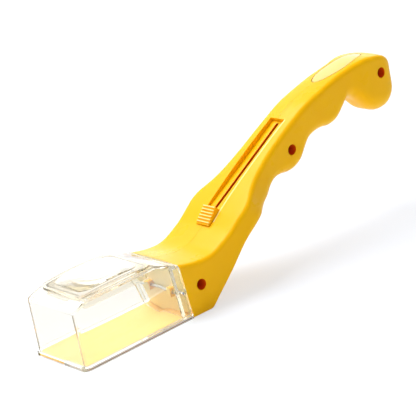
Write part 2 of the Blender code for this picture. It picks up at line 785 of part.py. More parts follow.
def handle_rings(inset):
    """Sections of the handle's outside, or of its inside where an inset is given, as x, y, z arrays."""
    first = inset / HANDLE_LENGTH
    last = 1 - first
    main = np.linspace(first, BUTT_START_SHARE, MAIN_STATIONS)
    turn = np.sin(np.radians(np.linspace(0, BUTT_TURN_DEG, BUTT_STATIONS)))[1:]
    at = np.concatenate([main, BUTT_START_SHARE + (last - BUTT_START_SHARE) * turn])
    beyond = np.clip((at - BUTT_START_SHARE) / (last - BUTT_START_SHARE), 0, 1)

    lean = smooth(LEAN_SHARES, at)
    foot_x = x_of(HANDLE_START + at * HANDLE_LENGTH)
    foot_z = np.maximum(smooth(UNDER_SHARES, at), 0) * HANDLE_HEIGHT
    top_x = foot_x - lean * HANDLE_LENGTH
    top_z = smooth(TOP_SHARES, at - lean) * HANDLE_HEIGHT
    height = np.hypot(top_x - foot_x, top_z - foot_z)
    lift_x = (top_x - foot_x) / height
    lift_z = (top_z - foot_z) / height
    middle = BUTT_MIDDLE_SHARE * HANDLE_HEIGHT
    top_z = top_z - inset * lift_z
    foot_z = foot_z + inset * lift_z
    top_x = top_x - inset * lift_x
    foot_x = foot_x + inset * lift_x
    top_z = middle + (top_z - middle) * (1 - beyond**TOP_POWER) ** (1 / TOP_POWER)
    foot_z = middle + (foot_z - middle) * (1 - beyond**UNDER_POWER) ** (1 / UNDER_POWER)
    height = np.hypot(top_x - foot_x, top_z - foot_z)[:, None]

    narrow = (1 - beyond**SIDE_POWER) ** (1 / SIDE_POWER)
    half_top = (smooth(WIDTH_SHARES, at) * NECK_HALF_WIDTH - inset) * narrow
    half_foot = half_top + smooth(FLARE_SHARES, at) * NECK_HALF_WIDTH
    half_top = half_top[:, None]
    half_foot = half_foot[:, None]
    room = LARGEST_RADIUS_SHARE * np.minimum(height, 2 * half_top)
    top_radius = (smooth(TOP_RADIUS_SHARES, at) * NECK_HALF_WIDTH)[:, None] - inset
    foot_radius = (smooth(FOOT_RADIUS_SHARES, at) * NECK_HALF_WIDTH)[:, None] - inset
    top_radius = np.clip(top_radius, GAP, room)
    foot_radius = np.clip(foot_radius, GAP, room)
    y, k = half_section(half_top, half_foot, height, top_radius, foot_radius, CROWN)

    y = np.hstack([y, -y[:, -2:0:-1]])
    k = np.hstack([k, k[:, -2:0:-1]])
    x = foot_x[:, None] + lift_x[:, None] * k
    z = foot_z[:, None] + (top_z - foot_z)[:, None] * k / height
    return np.stack([x, y, z], axis=-1)


def loft_mesh(name, rings):
    """A closed body through rings of points, with a flat cap at each end."""
    stations, around = rings.shape[:2]
    corners = rings.reshape(-1, 3)
    i, j = np.meshgrid(np.arange(stations - 1), np.arange(around), indexing="ij")
    after = (j + 1) % around
    low = i * around
    high = low + around
    quads = np.stack([low + j, high + j, high + after, low + after], axis=-1)
    faces = quads.reshape(-1, 4).tolist()
    faces.append(list(range(around)))
    faces.append(list(range((stations - 1) * around, stations * around)))
    mesh = bpy.data.meshes.new(name)
    mesh.from_pydata(corners.tolist(), [], faces)
    shape = bmesh.new()
    shape.from_mesh(mesh)
    bmesh.ops.recalc_face_normals(shape, faces=shape.faces)
    shape.to_mesh(mesh)
    shape.free()
    smooth_shade(mesh)
    return mesh


def screw_spots():
    """Station and height of each screw."""
    return {
        name: (HANDLE_START + along * HANDLE_LENGTH, up * HANDLE_HEIGHT)
        for name, (along, up) in SCREW_SHARES.items()
    }


def strap_path():
    """Middle line of the strap: level over the sheet's tail, then a curve up to the carriage."""
    lap_start = HANDLE_START + SHEET_TAIL_LENGTH - STRAP_LAP
    height = SHEET_HIGH + GAP + STRAP_THICKNESS / 2
    rise = strap_rise()
    tongue_front = -CARRIAGE_HALF_LENGTH - TONGUE_LENGTH
    start = Vector((x_of(lap_start), 0, height))
    leave = start + Vector((STRAP_LAP, 0, 0))
    arrive = slide_spot(tongue_front, rise)
    lead = leave + Vector((STRAP_ENTRY_SHARE * HANDLE_LENGTH, 0, 0))
    trail = slide_spot(tongue_front - STRAP_EXIT_SHARE * HANDLE_LENGTH, rise)
    path = [start]
    for i in range(STRAP_STEPS + 1):
        t = i / STRAP_STEPS
        rest = 1 - t
        path.append(
            leave * rest**3
            + lead * (3 * t * rest**2)
            + trail * (3 * t**2 * rest)
            + arrive * t**3
        )
    path.append(slide_spot(-CARRIAGE_HALF_LENGTH - 2 * GAP, rise))
    return path


def ribbon_outline(path, low, high):
    """Side outline of a strip that follows a path between two offsets square to it."""
    lower = []
    upper = []
    for i, point in enumerate(path):
        before = path[max(i - 1, 0)]
        after = path[min(i + 1, len(path) - 1)]
        along = (after - before).normalized()
        square = Vector((-along.z, 0, along.x))
        lower.append(point + square * low)
        upper.append(point + square * high)
    return [(p.x, p.z) for p in lower + upper[::-1]]


def carriage_top():
    return -TROUGH_FLOOR - GAP


def tongue_top():
    """The tongue carries on the carriage's underside, clear of the handle's top in front of the slot."""
    return carriage_top() - CARRIAGE_THICKNESS + TONGUE_THICKNESS


def strap_rise():
    return tongue_top() - TONGUE_THICKNESS - GAP - STRAP_THICKNESS / 2


def make_handle_core(body_inside):
    """The hollow inside the handle, less everything moulded onto the shells within it."""
    core = cutter("handle_core", body_inside)
    reach = NECK_HALF_WIDTH * 2
    for name, (station, height) in screw_spots().items():
        lap = PARTING_GAP / 2
        head_radius = SCREW_RECESS_RADIUS + BOSS_WALL
        head_boss = rod_mesh("head_boss", head_radius, -reach, lap, station, height)
        boolean(core, cutter("head_boss_" + name, head_boss))
        nut_boss = rod_mesh("nut_boss", NUT_BOSS_RADIUS, -lap, reach, station, height)
        boolean(core, cutter("nut_boss_" + name, nut_boss))

    half = BUTTON_HALF_WIDTH + RECESS_SIDE_GAP + TROUGH_WALL
    upper_end = TRAVEL + BUTTON_HALF_LENGTH + RECESS_END_GAP + TROUGH_WALL
    trough = block_mesh(
        "trough",
        (-TROUGH_HEAD, -half, -TROUGH_FLOOR - GUIDE_DEPTH),
        (upper_end, half, TROUGH_HEIGHT),
    )
    boolean(core, on_slide(cutter("trough", trough)))

    offset = RIB_CLEARANCE
    path = strap_path()[2:-2]
    line = ribbon_outline(path, offset, offset + RIB_THICKNESS)
    for name, side in (("right", -1), ("left", 1)):
        low, high = sorted((side * RIB_NEAR, side * reach))
        rib = outline_mesh("guide_rib", line, low, high, side_view=True)
        boolean(core, cutter("guide_rib_" + name, rib))
    return core


def make_handle_shell(name, side, mesh, core, group):
    """One half of the handle: side -1 is the right half, whose recesses take the screws' heads."""
    shell = add(name, mesh, group, yellow_abs("yellow ABS " + name))
    lug_station = rear_station(BOX_LENGTH, PIN_HEIGHT) - PIN_SETBACK
    margin = PIN_RADIUS + LUG_MARGIN
    edges = sorted((side * LUG_NEAR, side * (LUG_NEAR + LUG_WIDTH)))
    lug_front = rear_station(BOX_LENGTH - REAR_POCKET_LENGTH, PIN_HEIGHT - margin) + GAP
    lug = block_mesh(
        "pin_lug",
        spot(lug_front, edges[0], PIN_HEIGHT - margin),
        spot(HANDLE_START + HANDLE_WALL / 2, edges[1], PIN_HEIGHT + margin),
    )
    boolean(shell, cutter("pin_lug_" + name, lug), "UNION")
    reach = NECK_HALF_WIDTH * 2
    kept = sorted((side * PARTING_GAP, side * reach))
    half_space = block_mesh(
        "half",
        spot(-OVERRUN, kept[0], -OVERRUN),
        spot(OVERALL_LENGTH + OVERRUN, kept[1], HANDLE_HEIGHT + OVERRUN),
    )
    boolean(shell, cutter("half_" + name, half_space), "INTERSECT")
    boolean(shell, core)
    boolean(shell, PIN_HOLE)

    slot = block_mesh(
        "door_slot",
        spot(HANDLE_START - OVERRUN, -SHEET_HALF_WIDTH - GAP, SHEET_LOW - GAP),
        spot(
            HANDLE_START + SHEET_TAIL_LENGTH + OVERRUN,
            SHEET_HALF_WIDTH + GAP,
            SHEET_HIGH + GAP,
        ),
    )
    boolean(shell, cutter("door_slot_" + name, slot))

    half = BUTTON_HALF_WIDTH + RECESS_SIDE_GAP
    upper_end = TRAVEL + BUTTON_HALF_LENGTH + RECESS_END_GAP
    recess = block_mesh(
        "recess",
        (-BUTTON_HALF_LENGTH - RECESS_END_GAP, -half, 0),
        (upper_end, half, RECESS_HEIGHT),
    )
    boolean(shell, on_slide(cutter("recess_" + name, recess)))
    blade_end = BLADE_HALF_LENGTH + GAP
    slit = block_mesh(
        "slit",
        (-blade_end, -SLIT_HALF_WIDTH, -TROUGH_FLOOR - GAP),
        (TRAVEL + blade_end, SLIT_HALF_WIDTH, TROUGH_FLOOR),
    )
    boolean(shell, on_slide(cutter("slit_" + name, slit)))
    guide_half = CARRIAGE_HALF_WIDTH + GAP
    channel = block_mesh(
        "carriage_channel",
        (
            -TROUGH_HEAD - GAP,
            -guide_half,
            -TROUGH_FLOOR - GUIDE_DEPTH - CARRIAGE_THICKNESS,
        ),
        (upper_end + OVERRUN, guide_half, -TROUGH_FLOOR),
    )
    boolean(shell, on_slide(cutter("carriage_channel_" + name, channel)))
    boolean(shell, INLAY_POCKET)

    for spot_name, (station, height) in screw_spots().items():
        if side < 0:
            recess_hole = rod_mesh(
                "recess_hole",
                SCREW_RECESS_RADIUS,
                -reach,
                -SCREW_RECESS_FLOOR,
                station,
                height,
            )
            boolean(shell, cutter("screw_recess_" + spot_name, recess_hole))
        shank_hole = rod_mesh(
            "shank_hole",
            SCREW_SHANK_RADIUS + GAP,
            -SCREW_RECESS_FLOOR - OVERRUN,
            SCREW_LENGTH - SCREW_RECESS_FLOOR + 2 * GAP,
            station,
            height,
        )
        boolean(shell, cutter("shank_hole_" + name + "_" + spot_name, shank_hole))

    return shell


# Fasteners and slider


def turned_mesh(name, profile, segments=16):
    """A turned solid about Z from a profile of radius and height, top to bottom."""
    shape = bmesh.new()
    corners = [shape.verts.new((radius, 0, height)) for radius, height in profile]
    edges = [shape.edges.new(pair) for pair in zip(corners, corners[1:])]
    mesh = bpy.data.meshes.new(name)
    bmesh.ops.spin(
        shape,
        geom=corners + edges,
        axis=(0, 0, 1),
        cent=(0, 0, 0),
        steps=segments,
        angle=math.radians(360),
    )
    bmesh.ops.remove_doubles(shape, verts=shape.verts, dist=WELD)
    bmesh.ops.recalc_face_normals(shape, faces=shape.faces)
    shape.to_mesh(mesh)
    shape.free()
    smooth_shade(mesh)
    return mesh


def make_shell_screw(name, station, height, group):
    """A pan-head screw that enters from the right and bites in the left shell's boss."""
    shoulder = SCREW_HEAD_HEIGHT / 2
    profile = (
        (0, SCREW_HEAD_HEIGHT),
        (SCREW_HEAD_RADIUS - shoulder / 2, SCREW_HEAD_HEIGHT),
        (SCREW_HEAD_RADIUS, shoulder),
        (SCREW_HEAD_RADIUS, 0),
        (SCREW_SHANK_RADIUS, 0),
        (SCREW_SHANK_RADIUS, SCREW_TIP_LENGTH - SCREW_LENGTH),
        (0, -SCREW_LENGTH),
    )
    mesh = turned_mesh(name, profile)
    screw = add(name, mesh, group, steel("zinc-plated steel " + name))
    half = CROSS_SLOT_WIDTH / 2
    span = CROSS_SLOT_SPAN / 2
    floor = SCREW_HEAD_HEIGHT - CROSS_SLOT_DEPTH
    high = SCREW_HEAD_HEIGHT + OVERRUN
    place = spot(station, -SCREW_RECESS_FLOOR - GAP, height)
    turn = (math.radians(90), 0, 0)
    for label, width, depth in (("a", half, span), ("b", span, half)):
        slot = block_mesh("cross_slot", (-width, -depth, floor), (width, depth, high))
        tool = cutter("cross_slot_" + label + "_" + name, slot)
        tool.location = place
        tool.rotation_euler = turn
        boolean(screw, tool)
    screw.location = place
    screw.rotation_euler = turn
    return screw


def make_box_retaining_pin(group):
    half = wall_half_width(PIN_HEIGHT) - GAP
    station = rear_station(BOX_LENGTH, PIN_HEIGHT) - PIN_SETBACK
    mesh = rod_mesh("box_retaining_pin", PIN_RADIUS, -half, half, station, PIN_HEIGHT, 16)
    return add("box_retaining_pin", mesh, group, steel("bright steel pin"))


def crest_height(distance):
    """The wedge's top rises from its front end to its rear end."""
    share = (distance + BUTTON_HALF_LENGTH) / (2 * BUTTON_HALF_LENGTH)
    return BUTTON_FRONT_HEIGHT + (BUTTON_REAR_HEIGHT - BUTTON_FRONT_HEIGHT) * share


def button_profile():
    """Side view of the thumb button: a wedge with a steep rear end and ridges on its top."""
    rear = BUTTON_HALF_LENGTH - BUTTON_END_SLOPE
    points = [(-BUTTON_HALF_LENGTH, GAP), (BUTTON_HALF_LENGTH, GAP)]
    points.append((rear, crest_height(rear) - RIDGE_HEIGHT))
    span = BUTTON_HALF_LENGTH * RIDGE_SPAN_SHARE
    pitch = 2 * span / RIDGE_COUNT
    slope = pitch * (1 - RIDGE_CREST_SHARE - RIDGE_VALLEY_SHARE) / 2
    for i in range(RIDGE_COUNT):
        foot = span - pitch * i - pitch * RIDGE_VALLEY_SHARE / 2
        crest = foot - slope
        crest_end = crest - pitch * RIDGE_CREST_SHARE
        points.append((foot, crest_height(foot) - RIDGE_HEIGHT))
        points.append((crest, crest_height(crest)))
        points.append((crest_end, crest_height(crest_end)))
        points.append((crest_end - slope, crest_height(crest_end - slope) - RIDGE_HEIGHT))
    points.append((-BUTTON_HALF_LENGTH, BUTTON_FRONT_HEIGHT - RIDGE_HEIGHT))
    return points


def make_thumb_button(group):
    mesh = outline_mesh(
        "thumb_button",
        button_profile(),
        -BUTTON_HALF_WIDTH,
        BUTTON_HALF_WIDTH,
        side_view=True,
    )
    for corner in mesh.vertices:
        climb = (corner.co.z - GAP) / BUTTON_REAR_HEIGHT
        corner.co.y *= 1 - BUTTON_TAPER_SHARE * climb
    button = add("thumb_button", mesh, group, yellow_abs("yellow ABS button"))
    under = carriage_top() - CARRIAGE_THICKNESS - GAP
    blade = block_mesh(
        "blade",
        (-BLADE_HALF_LENGTH, -BLADE_HALF_WIDTH, under - BARB_HEIGHT / 2),
        (BLADE_HALF_LENGTH, BLADE_HALF_WIDTH, BUTTON_FRONT_HEIGHT / 2),
    )
    boolean(button, on_slide(cutter("blade", blade)), "UNION")
    barb = block_mesh(
        "barb",
        (-BARB_HALF_LENGTH, -BARB_HALF_WIDTH, under - BARB_HEIGHT),
        (BARB_HALF_LENGTH, BARB_HALF_WIDTH, under),
    )
    boolean(button, on_slide(cutter("barb", barb)), "UNION")
    return on_slide(button)


def make_slider_carriage(group):
    top = carriage_top()
    mesh = block_mesh(
        "slider_carriage",
        (-CARRIAGE_HALF_LENGTH, -CARRIAGE_HALF_WIDTH, top - CARRIAGE_THICKNESS),
        (CARRIAGE_HALF_LENGTH, CARRIAGE_HALF_WIDTH, top),
    )
    carriage = add("slider_carriage", mesh, group, white_acetal("white acetal carriage"))
    tongue = block_mesh(
        "tongue",
        (
            -CARRIAGE_HALF_LENGTH - TONGUE_LENGTH,
            -TONGUE_HALF_WIDTH,
            tongue_top() - TONGUE_THICKNESS,
        ),
        (GAP - CARRIAGE_HALF_LENGTH, TONGUE_HALF_WIDTH, tongue_top()),
    )
    boolean(carriage, on_slide(cutter("tongue", tongue)), "UNION")
    slot = block_mesh(
        "blade_slot",
        (
            -BLADE_HALF_LENGTH - GAP,
            -BLADE_HALF_WIDTH - GAP,
            top - CARRIAGE_THICKNESS - OVERRUN,
        ),
        (BLADE_HALF_LENGTH + GAP, BLADE_HALF_WIDTH + GAP, top + OVERRUN),
    )
    boolean(carriage, on_slide(cutter("blade_slot", slot)))
    boolean(carriage, RIVET_HOLE)
    return on_slide(carriage)


def rivet_distance():
    return -CARRIAGE_HALF_LENGTH - TONGUE_LENGTH / 2


def make_strap_rivet(group):
    upper = tongue_top() + GAP
    lower = strap_rise() - STRAP_THICKNESS / 2 - GAP
    profile = (
        (0, upper + RIVET_HEAD_HEIGHT - GAP),
        (RIVET_HEAD_RADIUS, upper + RIVET_HEAD_HEIGHT - GAP),
        (RIVET_HEAD_RADIUS, upper),
        (RIVET_SHANK_RADIUS, upper),
        (RIVET_SHANK_RADIUS, lower),
        (RIVET_HEAD_RADIUS, lower),
        (RIVET_HEAD_RADIUS, lower - RIVET_HEAD_HEIGHT),
        (0, lower - RIVET_HEAD_HEIGHT),
    )
    mesh = turned_mesh("strap_rivet", profile, segments=12)
    mesh.transform(Matrix.Translation((rivet_distance(), 0, 0)))
    return on_slide(add("strap_rivet", mesh, group, aluminium("aluminium rivet")))


def make_drive_strap(group):
    line = ribbon_outline(strap_path(), -STRAP_THICKNESS / 2, STRAP_THICKNESS / 2)
    mesh = outline_mesh(
        "drive_strap", line, -STRAP_HALF_WIDTH, STRAP_HALF_WIDTH, side_view=True
    )
    strap = add("drive_strap", mesh, group, lemon_sheet("lemon polypropylene strap"))
    boolean(strap, RIVET_HOLE)
    return strap


# Oval inlay


def oval(grow):
    centre = x_of(HANDLE_START + INLAY_CENTRE_SHARE * HANDLE_LENGTH)
    points = []
    for i in range(INLAY_SEGMENTS):
        angle = math.radians(360 * i / INLAY_SEGMENTS)
        points.append(
            (
                centre + (INLAY_HALF_LENGTH + grow) * math.cos(angle),
                (INLAY_HALF_WIDTH + grow) * math.sin(angle),
            )
        )
    return points


def inlay_mesh(name, body, grow, above, below):
    """A plate over the oval whose faces keep their distances from the handle's top."""
    shape = bmesh.new()
    shape.from_mesh(body)
    tree = BVHTree.FromBMesh(shape)
    shape.free()

    def surface(x, y):
        start = Vector((x, y, 2 * HANDLE_HEIGHT))
        return tree.ray_cast(start, Vector((0, 0, -1)))[0].z

    middle_x = x_of(HANDLE_START + INLAY_CENTRE_SHARE * HANDLE_LENGTH)
    return ringed_plate(
        name,
        oval(grow),
        middle_x,
        lambda x, y: surface(x, y) + above,
        lambda x, y: surface(x, y) - below,
    )


def make_oval_inlay(group, body):
    mesh = inlay_mesh("oval_inlay", body, 0, 0, INLAY_THICKNESS)
    return add("oval_inlay", mesh, group, yellow_abs("yellow ABS inlay"))


def make_inlay_pocket(body):
    depth = INLAY_THICKNESS + GAP
    return cutter(
        "inlay_pocket", inlay_mesh("inlay_pocket", body, INLAY_GROOVE, OVERRUN, depth)
    )


for old in list(bpy.data.objects):
    bpy.data.objects.remove(old)

PARTS = collection("spider_catcher")
CUTTERS = collection("cutters")

pin_station = rear_station(BOX_LENGTH, PIN_HEIGHT) - PIN_SETBACK
PIN_HOLE = cutter(
    "pin_hole",
    rod_mesh(
        "pin_hole",
        PIN_RADIUS + GAP,
        -RIM_HALF_WIDTH - OVERRUN,
        RIM_HALF_WIDTH + OVERRUN,
        pin_station,
        PIN_HEIGHT,
        16,
    ),
)
rivet_hole = turned_mesh(
    "rivet_hole",
    (
        (0, 0),
        (RIVET_SHANK_RADIUS + GAP, 0),
        (RIVET_SHANK_RADIUS + GAP, -SCREW_LENGTH / 2),
        (0, -SCREW_LENGTH / 2),
    ),
    segments=12,
)
rivet_hole.transform(Matrix.Translation((rivet_distance(), 0, 0)))
RIVET_HOLE = on_slide(cutter("rivet_hole", rivet_hole))

outside = loft_mesh("handle_outside", handle_rings(0))
inside = loft_mesh("handle_inside", handle_rings(HANDLE_WALL))
INLAY_POCKET = make_inlay_pocket(outside)
handle_core = make_handle_core(inside)

make_capture_box(PARTS)
outer_edge = RIM_HALF_WIDTH + OVERRUN
make_door_rail("door_rail_right", -outer_edge, LIP_NEAR_EDGE - GAP, PARTS)
make_door_rail("door_rail_left", LIP_FAR_EDGE + GAP, outer_edge, PARTS)
make_trapdoor_sheet(PARTS)
make_trapdoor_front_lip(PARTS)
make_lens_frame(PARTS)
make_magnifier_lens(PARTS)
make_box_retaining_pin(PARTS)
make_handle_shell("handle_shell_right", -1, outside.copy(), handle_core, PARTS)
make_handle_shell("handle_shell_left", 1, outside.copy(), handle_core, PARTS)
for screw_name, (screw_station, screw_height) in screw_spots().items():
    make_shell_screw("shell_screw_" + screw_name, screw_station, screw_height, PARTS)
make_thumb_button(PARTS)
make_slider_carriage(PARTS)
make_strap_rivet(PARTS)
make_drive_strap(PARTS)
make_oval_inlay(PARTS, outside)
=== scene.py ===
# %% [markdown]
# # A spider catcher
# The real tool is a clear box with a magnifier in its roof, on the neck of a curved yellow
# handle. A thumb button on the handle draws the box's lemon floor back into the neck. The
# imported CAD model gives every piece its place and its motion. This file gives each of them
# the surface and the finish that a person holding the tool would see.
#
# The first step loads the model.

# %% Load the imported model
import json
import math

import bmesh
import bpy
import numpy as np
from mathutils import Matrix

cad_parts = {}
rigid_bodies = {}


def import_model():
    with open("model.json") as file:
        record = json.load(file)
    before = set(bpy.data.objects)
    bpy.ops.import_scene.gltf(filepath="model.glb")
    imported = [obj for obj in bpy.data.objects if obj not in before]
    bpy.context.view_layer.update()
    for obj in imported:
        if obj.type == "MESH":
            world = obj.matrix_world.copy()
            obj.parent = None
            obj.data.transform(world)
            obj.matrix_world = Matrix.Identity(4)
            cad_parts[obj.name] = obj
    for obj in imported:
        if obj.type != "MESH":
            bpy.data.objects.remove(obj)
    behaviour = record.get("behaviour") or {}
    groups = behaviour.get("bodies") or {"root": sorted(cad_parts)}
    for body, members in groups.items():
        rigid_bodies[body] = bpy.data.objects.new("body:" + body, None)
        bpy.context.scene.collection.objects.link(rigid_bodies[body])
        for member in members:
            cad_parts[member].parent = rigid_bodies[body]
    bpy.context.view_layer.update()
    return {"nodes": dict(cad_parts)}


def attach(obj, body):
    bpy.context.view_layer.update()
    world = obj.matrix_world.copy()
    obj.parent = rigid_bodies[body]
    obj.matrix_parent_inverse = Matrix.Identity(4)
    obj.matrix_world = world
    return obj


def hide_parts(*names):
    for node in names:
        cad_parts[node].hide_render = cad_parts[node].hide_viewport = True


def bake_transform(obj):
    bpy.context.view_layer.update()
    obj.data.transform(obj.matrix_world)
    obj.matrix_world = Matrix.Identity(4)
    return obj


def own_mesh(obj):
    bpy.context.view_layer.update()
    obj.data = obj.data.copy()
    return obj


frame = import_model()
nodes = frame["nodes"]

# %% [markdown]
# ## Camera
# A long lens stands about 1.3 m away, to the right of the box and a little above it, and is
# rolled by 12 degrees so that the handle climbs across the picture. The three axes below are
# the picture's right, its up, and the way back to the lens. They were found by fitting the
# tool's outline and its straight edges, so the camera is set from them and not by eye.

# %% Camera
CAMERA_PLACE = (-0.718322, -0.984259, 0.480771)
PICTURE_RIGHT = (0.757743, -0.622482, -0.195813)
PICTURE_UP = (0.356228, 0.143174, 0.923365)
CAMERA_BACK = (-0.546743, -0.769427, 0.330234)

lens_data = bpy.data.cameras.new("long_lens")
lens_data.sensor_width = 36.0
lens_data.lens = 153.73
lens_data.clip_start = 0.05
camera = bpy.data.objects.new("camera", lens_data)
axes = np.transpose([PICTURE_RIGHT, PICTURE_UP, CAMERA_BACK, CAMERA_PLACE])
camera.matrix_world = Matrix([*axes.tolist(), (0, 0, 0, 1)])
bpy.context.scene.collection.objects.link(camera)
bpy.context.scene.camera = camera
bpy.context.scene.view_settings.view_transform = "Standard"
print("camera at", CAMERA_PLACE, "with a lens of", lens_data.lens, "mm")

# %% [markdown]
# ## Colours and nodes
# Paint and plastic colours are written as web hex values, as a picture editor shows them.
# Blender's shaders work in linear light, so one function turns each value. Another adds any
# kind of node and gives back its outputs. Each input gets either a value or another node's
# output, which is then linked. The other functions are short names for what repeats.


# %% Colour and node helpers
def place_object(name, data):
    """A new object in the scene, at the origin."""
    thing = bpy.data.objects.new(name, data)
    bpy.context.scene.collection.objects.link(thing)
    return thing


def linear(hex_color):
    """An sRGB hex colour as linear RGBA: each channel through the standard's two-part curve."""
    channels = np.array([int(hex_color[i : i + 2], 16) for i in (1, 3, 5)]) / 255
    low = channels / 12.92
    high = ((channels + 0.055) / 1.055) ** 2.4
    return (*np.where(channels <= 0.04045, low, high).tolist(), 1.0)


def fill(node, inputs):
    """Gives each input socket a value, or a link where another node's output is given."""
    for socket, given in inputs.items():
        if isinstance(given, bpy.types.NodeSocket):
            node.id_data.links.new(given, node.inputs[socket])
        else:
            node.inputs[socket].default_value = given


def add_node(tree, kind, inputs, **settings):
    """Adds a shader node of a kind, with its settings and inputs, and returns its outputs."""
    node = tree.nodes.new("ShaderNode" + kind)
    for name, value in settings.items():
        setattr(node, name, value)
    fill(node, inputs)
    return node.outputs


def combine(tree, operation, first, second):
    """Two values combined by a Math node's operation, such as MAXIMUM."""
    return add_node(tree, "Math", {0: first, 1: second}, operation=operation)["Value"]


def remap(tree, value, low, high, new_low, new_high):
    """How far the value is from low to high, 0 to 1, laid between new_low and new_high."""
    span = {"From Min": low, "From Max": high, "To Min": new_low, "To Max": new_high}
    return add_node(tree, "MapRange", {"Value": value, **span})["Result"]


def mix_shaders(tree, share, first, second):
    """One minus the share of the first shader, plus the share of the second."""
    return add_node(tree, "MixShader", {0: share, 1: first, 2: second})["Shader"]


def new_material(name):
    """An empty Principled material, and its tree and shader."""
    material = bpy.data.materials.new(name)
    material.use_nodes = True
    return material, material.node_tree, material.node_tree.nodes["Principled BSDF"]


print("linear value of #FFCC00:", [round(v, 3) for v in linear("#FFCC00")])

# %% [markdown]
# ## Studio
# The tool lies in an even white studio. One broad lamp hangs behind it, high up, so the tops
# are bright, the near sides are a shade deeper and the soft shadow falls towards the lower
# right. A weak lamp low in front of the box's end lifts the faces that look that way. The room
# gives the rest. Rays that a smooth face mirrors, or that clear plastic bends, see a room that
# is white at eye level and greyer overhead. Mirrored rays see it brighter behind the tool,
# which gives the sheen. Shadow rays already carry the lamps' light through clear plastic, so
# the rays that it bends don't see the lamps. Seen twice, they would wash out the box's inside.
#
# Light can bounce dozens of times inside a thin clear wall before it leaves at an edge. A low
# limit on the bounces would cut it off and draw the box's edges black, so the limit is high.

# %% Lamps
LAMP_DISTANCE = 4.0
LAMP_AIM = (0, 0, 0.05)
MOST_BOUNCES = 96
MOST_CLEAR_LAYERS = 40


def add_lamp(name, direction, size, watts):
    """A square lamp that looks at the tool's middle from a direction."""
    data = bpy.data.lights.new(name, "AREA")
    data.size = size
    data.energy = watts
    lamp = place_object(name, data)
    way = np.array(direction) / np.linalg.norm(direction)
    lamp.location = way * LAMP_DISTANCE + LAMP_AIM
    lamp.rotation_euler = (
        math.acos(way[2]),
        0,
        math.atan2(way[1], way[0]) + math.radians(90),
    )
    lamp.visible_transmission = False


add_lamp("key_lamp", (-0.10, 0.42, 0.88), 2.9, 206.0)
add_lamp("low_lamp", (-0.85, -0.50, 0.12), 1.4, 8.0)
cycles = bpy.context.scene.cycles
cycles.max_bounces = MOST_BOUNCES
cycles.transmission_bounces = MOST_BOUNCES
cycles.glossy_bounces = MOST_BOUNCES
cycles.transparent_max_bounces = MOST_CLEAR_LAYERS

# %% Room
WHITE = linear("#FFFFFF")
ROOM_LIGHT = 0.44
OVERHEAD_RISE = (0.12, 0.75)
OVERHEAD_GLOW = 0.66
REAR_TURN = (0.2, 0.8)
REAR_GLOW = 2.4

room = bpy.data.worlds.new("white_room")
room.use_nodes = True
bpy.context.scene.world = room
tree = room.node_tree
tree.nodes.clear()
place = add_node(tree, "TexCoord", {})["Generated"]
way = add_node(tree, "SeparateXYZ", {0: place})
seen = add_node(tree, "LightPath", {})
overhead = remap(tree, way["Z"], *OVERHEAD_RISE, 1.0, OVERHEAD_GLOW)
rear = remap(tree, way["Y"], *REAR_TURN, 1.0, REAR_GLOW)
glossy_rear = combine(tree, "POWER", rear, seen["Is Glossy Ray"])
strength = combine(tree, "MULTIPLY", overhead, glossy_rear)
mirrored = combine(tree, "MAXIMUM", seen["Is Glossy Ray"], seen["Is Transmission Ray"])
lighting, reflected, backdrop = (
    add_node(tree, "Background", {"Color": WHITE, "Strength": level})["Background"]
    for level in (ROOM_LIGHT, strength, 1.0)
)
indirect = mix_shaders(tree, mirrored, lighting, reflected)
shown = mix_shaders(tree, seen["Is Camera Ray"], indirect, backdrop)
add_node(tree, "OutputWorld", {"Surface": shown})
print("room light:", ROOM_LIGHT)

# %% Floor
FLOOR_REACH = 6.0
FLOOR_LEVEL = -0.0004
PAPER_GLOW = 0.62
PAPER_BRIGHTNESS = 1.02

floor_mesh = bpy.data.meshes.new("floor")
turns = ((-1, -1), (1, -1), (1, 1), (-1, 1))
floor_corners = [(x * FLOOR_REACH, y * FLOOR_REACH, FLOOR_LEVEL) for x, y in turns]
floor_mesh.from_pydata(floor_corners, [], [(0, 1, 2, 3)])
floor = place_object("floor", floor_mesh)
paper, tree, shader = new_material("matt white paper")
fill(shader, {"Base Color": linear("#EAF1FF"), "Roughness": 0.9, "Specular IOR Level": 0.1})
ray = add_node(tree, "LightPath", {})
straight = combine(tree, "MAXIMUM", ray["Is Camera Ray"], ray["Is Transmission Ray"])
either = combine(tree, "MAXIMUM", straight, ray["Is Glossy Ray"])
share = combine(tree, "MULTIPLY", either, PAPER_GLOW)
glow = add_node(tree, "Emission", {"Color": WHITE, "Strength": PAPER_BRIGHTNESS})["Emission"]
lifted = mix_shaders(tree, share, shader.outputs["BSDF"], glow)
fill(tree.nodes["Material Output"], {"Surface": lifted})
floor_mesh.materials.append(paper)
print("floor:", 2 * FLOOR_REACH, "m square")
